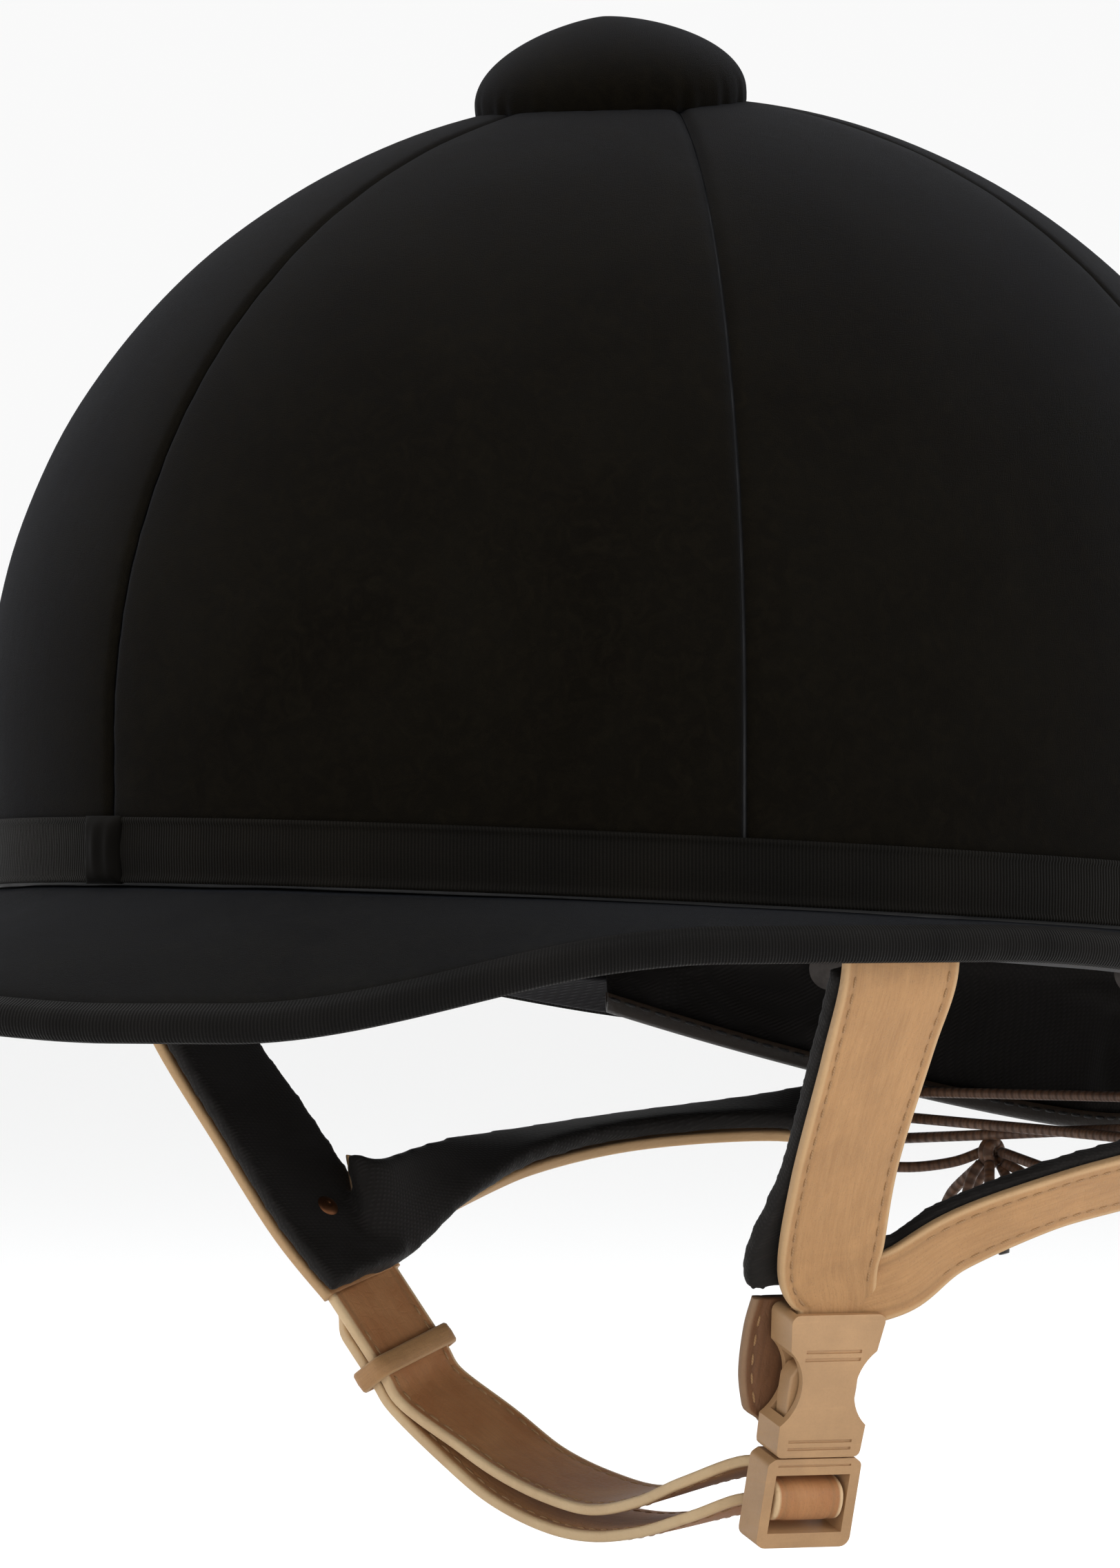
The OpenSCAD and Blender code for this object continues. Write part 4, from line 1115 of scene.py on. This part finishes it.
def crown_padding():
    turns = np.linspace(0, 360, 133)[:-1]
    rises = np.linspace(45.5, 86, 20)
    t, a = np.meshgrid(turns, rises, indexing="ij")
    outer = dome_point(t, a, PAD_R - 0.2)
    inner = dome_point(t, a, PAD_R - 3.0)
    seams = np.zeros(t.shape, bool)
    seams[::11, 1:-1] = True
    seams[:, 9] = True
    inner[seams] += (outer[seams] - inner[seams]) * 0.5
    n, m = t.shape
    at = np.arange(n * m).reshape(n, m)
    faces = []
    for i in range(n):
        k = (i + 1) % n
        for j in range(m - 1):
            q = (at[i, j], at[k, j], at[k, j + 1], at[i, j + 1])
            faces.append(q)
            faces.append(tuple(x + n * m for x in q[::-1]))
        faces.append((at[k, 0], at[i, 0], at[i, 0] + n * m, at[k, 0] + n * m))
    top, low = 2 * n * m, 2 * n * m + 1
    for i in range(n):
        k = (i + 1) % n
        faces.append((at[i, -1], at[k, -1], top))
        faces.append((at[k, -1] + n * m, at[i, -1] + n * m, low))
    poles = dome_point(np.array([0, 0]), np.array([90, 90]), np.array([PAD_R - 0.2, PAD_R - 2.2]))
    o = piece("crown_padding", np.concatenate([outer.reshape(-1, 3), inner.reshape(-1, 3), poles]), faces)
    hold = seams.copy()
    hold[:, [0, -1]] = True
    to_swell(o, hold, 2.0, pad_cloth, "pad_fabric", ["crown_pad"], 0.7, (top, low))


crown_padding()


def nape_padding():
    turns = np.linspace(-58, 58, 89)
    f = np.linspace(0, 1, 15)
    t, v = np.meshgrid(turns, f, indexing="ij")
    z = NAPE_TOP + (nape_low(t) - NAPE_TOP) * v
    shut = smooth(np.minimum(np.minimum(v, 1 - v) / 0.1, np.minimum(t + 58, 58 - t) / 3))
    outer = nape_point(t, nape_radius(v) + 0.6 + 1.2 * shut, z)
    inner = nape_point(t, nape_radius(v) - 0.2 - 1.3 * shut, z)
    seams = np.zeros(t.shape, bool)
    seams[:, 2] = True
    inner[seams] += (outer[seams] - inner[seams]) * 0.4
    pad_piece("nape_padding", outer, inner, seams, 1.4, lining_black, "lining_fabric", ["nape_panel"], 0.6)


nape_padding()
run_cloth()


def nape_edge():
    """Leather folded round the lower edge of the nape panel."""
    turns = np.linspace(-58, 58, 117)
    section = [(-2.5, 2.2), (-2.75, 1.2), (-2.7, 0), (-2.2, -1.0), (-1.2, -1.5), (0, -1.6), (1.2, -1.5),
               (2.2, -1.0), (2.7, 0), (2.75, 1.2), (2.5, 2.2), (1.9, 2.1), (1.7, 0.4),
               (-1.7, 0.4), (-1.9, 2.1)]
    out, up = np.asarray(section, float).T
    rows = []
    for t in turns:
        z = nape_low(t) - 0.2
        rows.append(nape_point(np.full(len(out), t), nape_radius(1.0) + out, z + up))
    rows = np.array(rows)
    path = rows[:, 5]
    count = len(section)
    data = {"along": np.repeat(lengths(path) * MM, count),
            "across": np.tile(np.linspace(0, 0.009, count), len(turns)),
            "face": np.ones(len(turns) * count), "edge": np.tile((up > 2).astype(float), len(turns)),
            "groove": np.zeros(len(turns) * count)}
    dress(loft("nape_edge_leather", rows, data), nape_leather, nodes=["nape_binding"])
    parts = []
    for out_mm in (2.72, -2.72):
        path = nape_point(turns, nape_radius(1.0) + out_mm, nape_low(turns) + 1.0)
        normal = nape_point(turns, np.ones_like(turns) * math.copysign(1, out_mm), 0)
        parts += stitch_mesh(path, normal, 3.0, 2.2, 0.26)
    dress(joined("stitching_nape", parts), thread_black)


nape_edge()


# ---------- lace ----------

LACE_R = 1.0


def tube_mesh(points, radius, sides=12):
    c = curve(points, 8)
    t = tangents(c)
    normal = unit(np.cross(t[0], [0.3, 0.2, 1.0]))
    rows, turns = [], 2 * math.pi * np.arange(sides) / sides
    for i in range(len(c)):
        normal = unit(normal - np.dot(normal, t[i]) * t[i])
        b = np.cross(t[i], normal)
        rows.append(c[i] + radius * (np.cos(turns)[:, None] * normal + np.sin(turns)[:, None] * b))
    v = np.array(rows).reshape(-1, 3)
    along = np.repeat(lengths(c) * MM, sides)
    across = np.tile(np.abs(np.linspace(-1, 1, sides, endpoint=False)) * MM * radius * 3, len(c))
    return v, tube_faces(len(c), sides), along, across


def cords(name, routes, nodes):
    parts, along, across = [], [], []
    for route in routes:
        v, f, u, w = tube_mesh(route, LACE_R)
        parts.append((v, f))
        along.append(u)
        across.append(w)
    o = joined(name, parts, {"along": np.concatenate(along), "across": np.concatenate(across)})
    return dress(o, lace_brown, nodes=nodes)


EYELET_Z = [-37.5, -42, -46.5]
TAB = np.array([45, 95.9, 0])
TAB_OUT = np.array([0.6, 0.8, 0])
KNOT = np.array([-22, 104.5, -48.5])


def outside(side, z):
    return (side * (TAB[0] + 1.6), TAB[1] + 3.2, z)


def inside(side, z):
    return (side * (TAB[0] - 4), TAB[1] - 5.6, z)


lace_route = [
    tuple(KNOT + [2.6, 0, 0]), (8, 102.5, -54), (28, 97, -54.5), inside(1, -51), inside(1, EYELET_Z[2]),
    outside(1, EYELET_Z[2]), (22, 100.5, -45.3), (0, 101, -44.2), (-22, 100.5, -43.2),
    outside(-1, EYELET_Z[1]), inside(-1, EYELET_Z[1]), inside(-1, EYELET_Z[0]),
    outside(-1, EYELET_Z[0]), (-22, 101, -37.5), (0, 101.5, -37.5), (22, 101, -37.5),
    outside(1, EYELET_Z[0]), inside(1, EYELET_Z[0]), inside(1, EYELET_Z[1]), outside(1, EYELET_Z[1]),
    (22, 103, -43.2), (0, 104, -44.2), (-22, 103, -45.3),
    outside(-1, EYELET_Z[2]), inside(-1, EYELET_Z[2]), inside(-1, -50.5), (-36, 96, -51.5),
    (-29, 101, -50.5), tuple(KNOT - [2.6, 0, 0])]
cords("lace", [lace_route], ["nape_lace"])

loop_route = [(1.9, 0.5, -2), (6, 1.5, -4), (12, 2, -8), (14, 2, -12), (9, 1.5, -11), (4, 0.6, -6.5),
              (1, 0.5, -2.6)]
tail_route = [(0.2, -1.7, -2), (1.5, -3, -5), (2.4, -3.5, -9), (3.5, -3, -13)]
bow = []
for side in (1, -1):
    for route in (loop_route, tail_route):
        bow.append([tuple(KNOT + np.array([side * (p[0] + 1), p[1], p[2]])) for p in route])
cords("lace_bow_loops", bow, ["lace_bow"])


def knot_wraps():
    """The knot: the lace wound twice round itself."""
    turns = np.linspace(0, 4 * math.pi, 28)
    wrap = [tuple(KNOT + [(t / (4 * math.pi) - 0.5) * 2.6, 1.9 * math.sin(t), 2.0 * math.cos(t)])
            for t in turns]
    over = ([-2.4, 0.4, 1.2], [-0.9, 2.2, 0.6], [0.9, 2.3, -0.7], [2.3, 0.6, -1.6])
    cross = [tuple(KNOT + p) for p in over]
    cords("lace_knot_wraps", [wrap, cross], ["lace_knot"])


knot_wraps()


def lathe(profile, sides=28):
    """A closed turned shape as (verts, faces), round Z, from a loop of (r, z)."""
    p = np.asarray(profile, float)
    turns = 2 * math.pi * np.arange(sides) / sides
    rows = [np.stack([p[:, 0] * math.cos(t), p[:, 0] * math.sin(t), p[:, 1]], -1) for t in turns]
    return np.array(rows).reshape(-1, 3), ring_faces(sides, len(p), True)


def aimed(solid, at, out):
    """A turned shape moved so that its Z points along out."""
    v, f = solid
    z = unit(out)
    x = unit(np.cross([0.2, 0.1, 1.0], z))
    y = np.cross(z, x)
    return v @ np.array([x, y, z]) + np.asarray(at, float), f


def eyelets():
    profile = [(1.15, 0.1), (1.2, 0.75), (1.45, 1.0), (1.8, 0.98), (2.15, 0.6), (2.25, 0.1), (2.0, -0.05),
               (1.3, -0.4)]
    parts = []
    for side in (1, -1):
        for z in EYELET_Z:
            at = (TAB + TAB_OUT * 1.1) * [side, 1, 1] + [0, 0, z]
            parts.append(aimed(lathe(profile), at, TAB_OUT * [side, 1, 1]))
    dress(joined("eyelets", parts), eyelet_black, nodes=["lace_eyelets"])


eyelets()


def lace_ends():
    parts = []
    profile = [(0.02, -3.2), (0.95, -3.2), (1.12, -2.9), (1.16, 2.6), (1.0, 3.1), (0.02, 3.2), (0.01, 0)]
    for side in (1, -1):
        tip = KNOT + np.array([side * 4.6, -3, -13.3])
        way = unit([side * math.sin(math.radians(15)), 0.07, -math.cos(math.radians(15))])
        parts.append(aimed(lathe(profile, 20), tip + way * 2.7, way))
    dress(joined("lace_ends", parts), lace_tip_look, nodes=["lace_tips"])


lace_ends()


# ---------- rivets ----------

def strap_spot(stations, step, outward):
    """Centre and outward normal at a CAD step (4 a span) of a strap's curve."""
    c, _, n, _ = strap_lines(stations, outward, 4)
    return c[step], n[step]


def join_rivets():
    dome = [(0.01, 0.85), (0.9, 0.8), (1.7, 0.55), (2.15, 0.2), (2.2, 0.0), (1.2, -0.1), (1.2, -1.0),
            (0.01, -1.0)]
    c, n = strap_spot(right_front, 20, -1)
    parts = [aimed(lathe(dome), c + n * 1.08, n), aimed(lathe(dome), c - n * 5.0, -n)]
    dress(joined("join_rivet_heads", parts), rivet_brown, nodes=["join_rivets"])


join_rivets()


# ---------- buckle ----------

def plate_mesh(outline, thick):
    """An outline of (y, z) points made into a solid across the buckle."""
    p = np.asarray(outline, float)
    n = len(p)
    front = np.column_stack([np.full(n, thick / 2), p])
    back = np.column_stack([np.full(n, -thick / 2), p])
    faces = [tuple(range(n)), tuple(range(2 * n - 1, n - 1, -1))]
    faces += [(i, (i + 1) % n, (i + 1) % n + n, i + n) for i in range(n)]
    return np.concatenate([front, back]), faces


def box_mesh(low, high):
    x0, y0, z0 = low
    x1, y1, z1 = high
    v = np.array([(x, y, z) for x in (x0, x1) for y in (y0, y1) for z in (z0, z1)])
    return v, [(0, 1, 3, 2), (4, 6, 7, 5), (0, 4, 5, 1), (2, 3, 7, 6), (0, 2, 6, 4), (1, 5, 7, 3)]


def cut_away(o, parts):
    cutter = joined("cutter", parts)
    modifier(o, "BOOLEAN", operation="DIFFERENCE", solver="EXACT", object=cutter, use_self=True)
    final_mesh(o)
    bpy.data.objects.remove(cutter)
    return o


def softened(o, width_mm):
    """Bevels the hard edges and places the piece on the buckle."""
    modifier(o, "BEVEL", width=width_mm * MM, segments=3, limit_method="ANGLE",
             angle_limit=math.radians(32), use_clamp_overlap=True, harden_normals=False)
    final_mesh(o)
    modifier(o, "WEIGHTED_NORMAL")
    final_mesh(o)
    return moved(o, on_buckle)


def arc_points(cy, cz, r, start, end, count):
    w = np.radians(np.linspace(start, end, count))
    return [(cy + r * math.cos(a), cz + r * math.sin(a)) for a in w]


def both_sides(right):
    return right + [(-y, z) for y, z in right[::-1]]


def socket():
    half = BUCKLE_W / 2
    right = arc_points(half - 1.6, -1.6, 1.6, 90, 0, 5)
    right += arc_points(half + 4.9, -14, 9.0, 129, 231, 15)
    right += arc_points(half - 2.2, -SOCKET_H + 1.2, 1.2, 0, -90, 4)
    v, f = plate_mesh(both_sides(right), BUCKLE_T)
    o = piece("buckle_body", v, f, flat=True)
    hollows = [((-2.5, -7.4, -28), (2.5, 7.4, -8.5)), ((-0.3, -8.2, -5.6), (2.9, 8.2, 2.4)),
               ((-8, -8.2, -5.6), (0, 8.2, -2.8))]
    grooves = [((3.6, -5.6, -7.3), (4.5, 5.6, -6.7)), ((3.6, -5.6, -8.8), (4.5, 5.6, -8.2)),
               ((3.6, -6.4, -24.2), (4.5, 6.4, -23.7)), ((3.6, -6.4, -25.6), (4.5, 6.4, -25.1))]
    cut_away(o, [box_mesh(low, high) for low, high in hollows + grooves])
    softened(o, 0.5)
    dress(o, buckle_plastic, nodes=["buckle_socket"])


def release_frame():
    half = BUCKLE_W / 2
    right = [(half - 1.4, -27.4)] + arc_points(half - 1.2, -29, 1.2, 60, 0, 4)
    right += arc_points(half - 1.9, -44.3 + 1.9, 1.9, 0, -90, 6)
    v, f = plate_mesh(both_sides(right), BUCKLE_T - 1)
    o = piece("buckle_ladder", v, f, flat=True)
    cut_away(o, [box_mesh((-8, -7.5, -41.5), (8, 7.5, -30.5)),
                 box_mesh((3.2, -7.4, -28.9), (4.5, 7.4, -28.5))])
    stem = piece("stem", *box_mesh((-2.1, -1.7, -28), (2.1, 1.7, -11.6)), flat=True)
    bar_v, bar_f = lathe([(0.01, -8.3), (1.4, -8.3), (1.4, 8.3), (0.01, 8.3)], 24)
    bar_v = np.stack([bar_v[:, 0], bar_v[:, 2], bar_v[:, 1] + BAR_Z], -1)
    bar = piece("bar", bar_v, bar_f)
    softened(o, 0.55)
    softened(stem, 0.5)
    moved(bar, on_buckle)
    bpy.context.view_layer.update()
    bm = bmesh.new()
    for part in (o, stem, bar):
        bm.from_mesh(part.data)
    bm.to_mesh(o.data)
    bm.free()
    bpy.data.objects.remove(stem)
    bpy.data.objects.remove(bar)
    o.data.polygons.foreach_set("use_smooth", np.ones(len(o.data.polygons), bool))
    dress(o, buckle_plastic, "frame", nodes=["buckle_frame"])


def prong(name, side, body, node):
    shape = [(4, -SOCKET_H), (6.1, -SOCKET_H), (6.5, -21), (6.9, -17), (6.95, -14.7), (6.9, -12.5),
             (5.8, -10.5), (4, -10), (4.2, -16)]
    v, f = plate_mesh([(side * y, z) for y, z in shape], 4.2)
    o = piece(name, v, f, flat=True)
    softened(o, 0.45)
    dress(o, buckle_plastic, body, nodes=[node])


socket()
release_frame()
prong("prong_pad_front", -1, "front_prong", "prong_front")
prong("prong_pad_rear", 1, "rear_prong", "prong_rear")


# ---------- chin strap ----------

ALONG = unit([10.5, 7.3, -18.9])
CHIN_TOP = np.array([-57, -20.6, -72])
CHIN_SIDE = (-0.156, 0.947, 0.28)
CHIN_W = 19


def chin_route():
    side = unit(np.array(CHIN_SIDE) - np.dot(CHIN_SIDE, ALONG) * ALONG)
    out = -np.cross(ALONG, side)
    shift = out * 2.5
    wrap = 2.9

    def station(p, v):
        return tuple(np.asarray(p, float)), v, CHIN_W

    def bar(x, z):
        return tuple(on_buckle([x, 0, BAR_Z + z])), BUCKLE_ACROSS, 13.8

    stations = [station(CHIN_TOP + ALONG * d, CHIN_SIDE) for d in (-1.6, 8, 16, 22)]
    stations += [
        station((-38, -8.7, -97.2), (-0.12, 0.95, 0.25)), station((-28, -6.5, -103.2), (-0.08, 1, 0.18)),
        station((-16, -5.2, -107.3), (-0.03, 1, 0.17)), station((-3, -5, -109.2), (0, 1, 0.17)),
        station((11, -6, -106.8), (0, 1, 0.2)), station((24, -7, -103.6), (0.1, 1, 0.12)),
        bar(-9, wrap + 0.8), bar(-1, wrap + 0.1), bar(wrap * 0.75, wrap * 0.75), bar(wrap + 0.1, 0),
        bar(wrap * 0.75, -wrap * 0.75), bar(-1, -wrap - 0.1), bar(-9, -wrap - 0.8),
        station((24, -7, -110.2), (0.1, 1, 0.12)), station((11, -6, -112.8), (0, 1, 0.15)),
        station((-3, -5.2, -114), (0, 1, 0.17)), station((-16, -5.4, -112.6), (-0.03, 1, 0.17)),
        station((-29, -7, -108), (-0.08, 1, 0.18)), station((-40, -9.2, -100.4), (-0.12, 0.95, 0.25))]
    stations += [station(CHIN_TOP + ALONG * d + shift, CHIN_SIDE) for d in (22, 16, 8, 1)]
    return stations, side, out, shift


chin_stations, keeper_across, keeper_out, tail_shift = chin_route()


def chin_strap():
    def ends(share):
        return -1.0, 1.0, 1 - 0.3 * smooth((share - 0.975) / 0.025) ** 2

    o = strap_piece("chin_leather", chin_stations, -1, steps=8, shape=ends)
    o.data.materials.append(chin_leather)
    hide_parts("chin_strap")
    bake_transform(o)
    parts = []
    for start, end in ((0.03, 0.42), (0.56, 0.97)):
        parts += stitch_lines(chin_stations, -1, STITCH_UP, start, end, (1, -1))
    s = joined("stitching_chin", parts)
    s.data.materials.append(thread_tan)
    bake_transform(s)


chin_strap()


def keeper():
    """A narrow leather loop round both runs of the chin strap."""
    half_x, half_y, r = 5.8 / 2 + 0.65, 20 / 2 + 0.65, 1.5
    path = []
    for cx, cy, start in ((1, 1, 0), (-1, 1, 90), (-1, -1, 180), (1, -1, 270)):
        for w in np.radians(start + np.linspace(0, 90, 6)):
            path.append((cx * (half_x - r) + r * math.cos(w), cy * (half_y - r) + r * math.sin(w)))
    path = np.array(path)
    t = tangents(path, True)
    out = np.column_stack([t[:, 1], -t[:, 0]])
    section = [(-0.6, -1.6), (-0.3, -2.0), (0.3, -2.0), (0.6, -1.6), (0.72, 0), (0.6, 1.6), (0.3, 2.0),
               (-0.3, 2.0), (-0.6, 1.6), (-0.6, 0)]
    centre = CHIN_TOP + ALONG * 14.5 + tail_shift / 2
    rows, face, edge, across = [], [], [], []
    for p, o in zip(path, out):
        row = []
        for d, h in section:
            q = p + o * d
            row.append(centre + keeper_out * q[0] + keeper_across * q[1] - ALONG * h)
            face.append(1.0 if d > 0 else -1.0)
            edge.append(1.0 if abs(h) > 1.9 else 0.0)
            across.append(h * MM)
        rows.append(row)
    along = np.repeat(lengths(path) * MM, len(section))
    data = {"along": along, "across": across, "face": face, "edge": edge, "groove": np.zeros(len(face))}
    o = loft("keeper_loop", np.array(rows), data, ring=True)
    dress(o, leather, "keeper", nodes=["strap_keeper"])


keeper()


# ---------- materials for the CAD pieces that stay ----------

stays = {
    "outer_shell": shell_plastic, "peak_board": board_fibre, "foam_liner": foam, "button_core": button_wood,
    "button_screw": steel, "button_washer": steel, "strap_rivets": steel, "strap_washers": steel,
    "nape_rivets": eyelet_black}
for node, material in stays.items():
    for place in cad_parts[node].material_slots:
        place.material = material
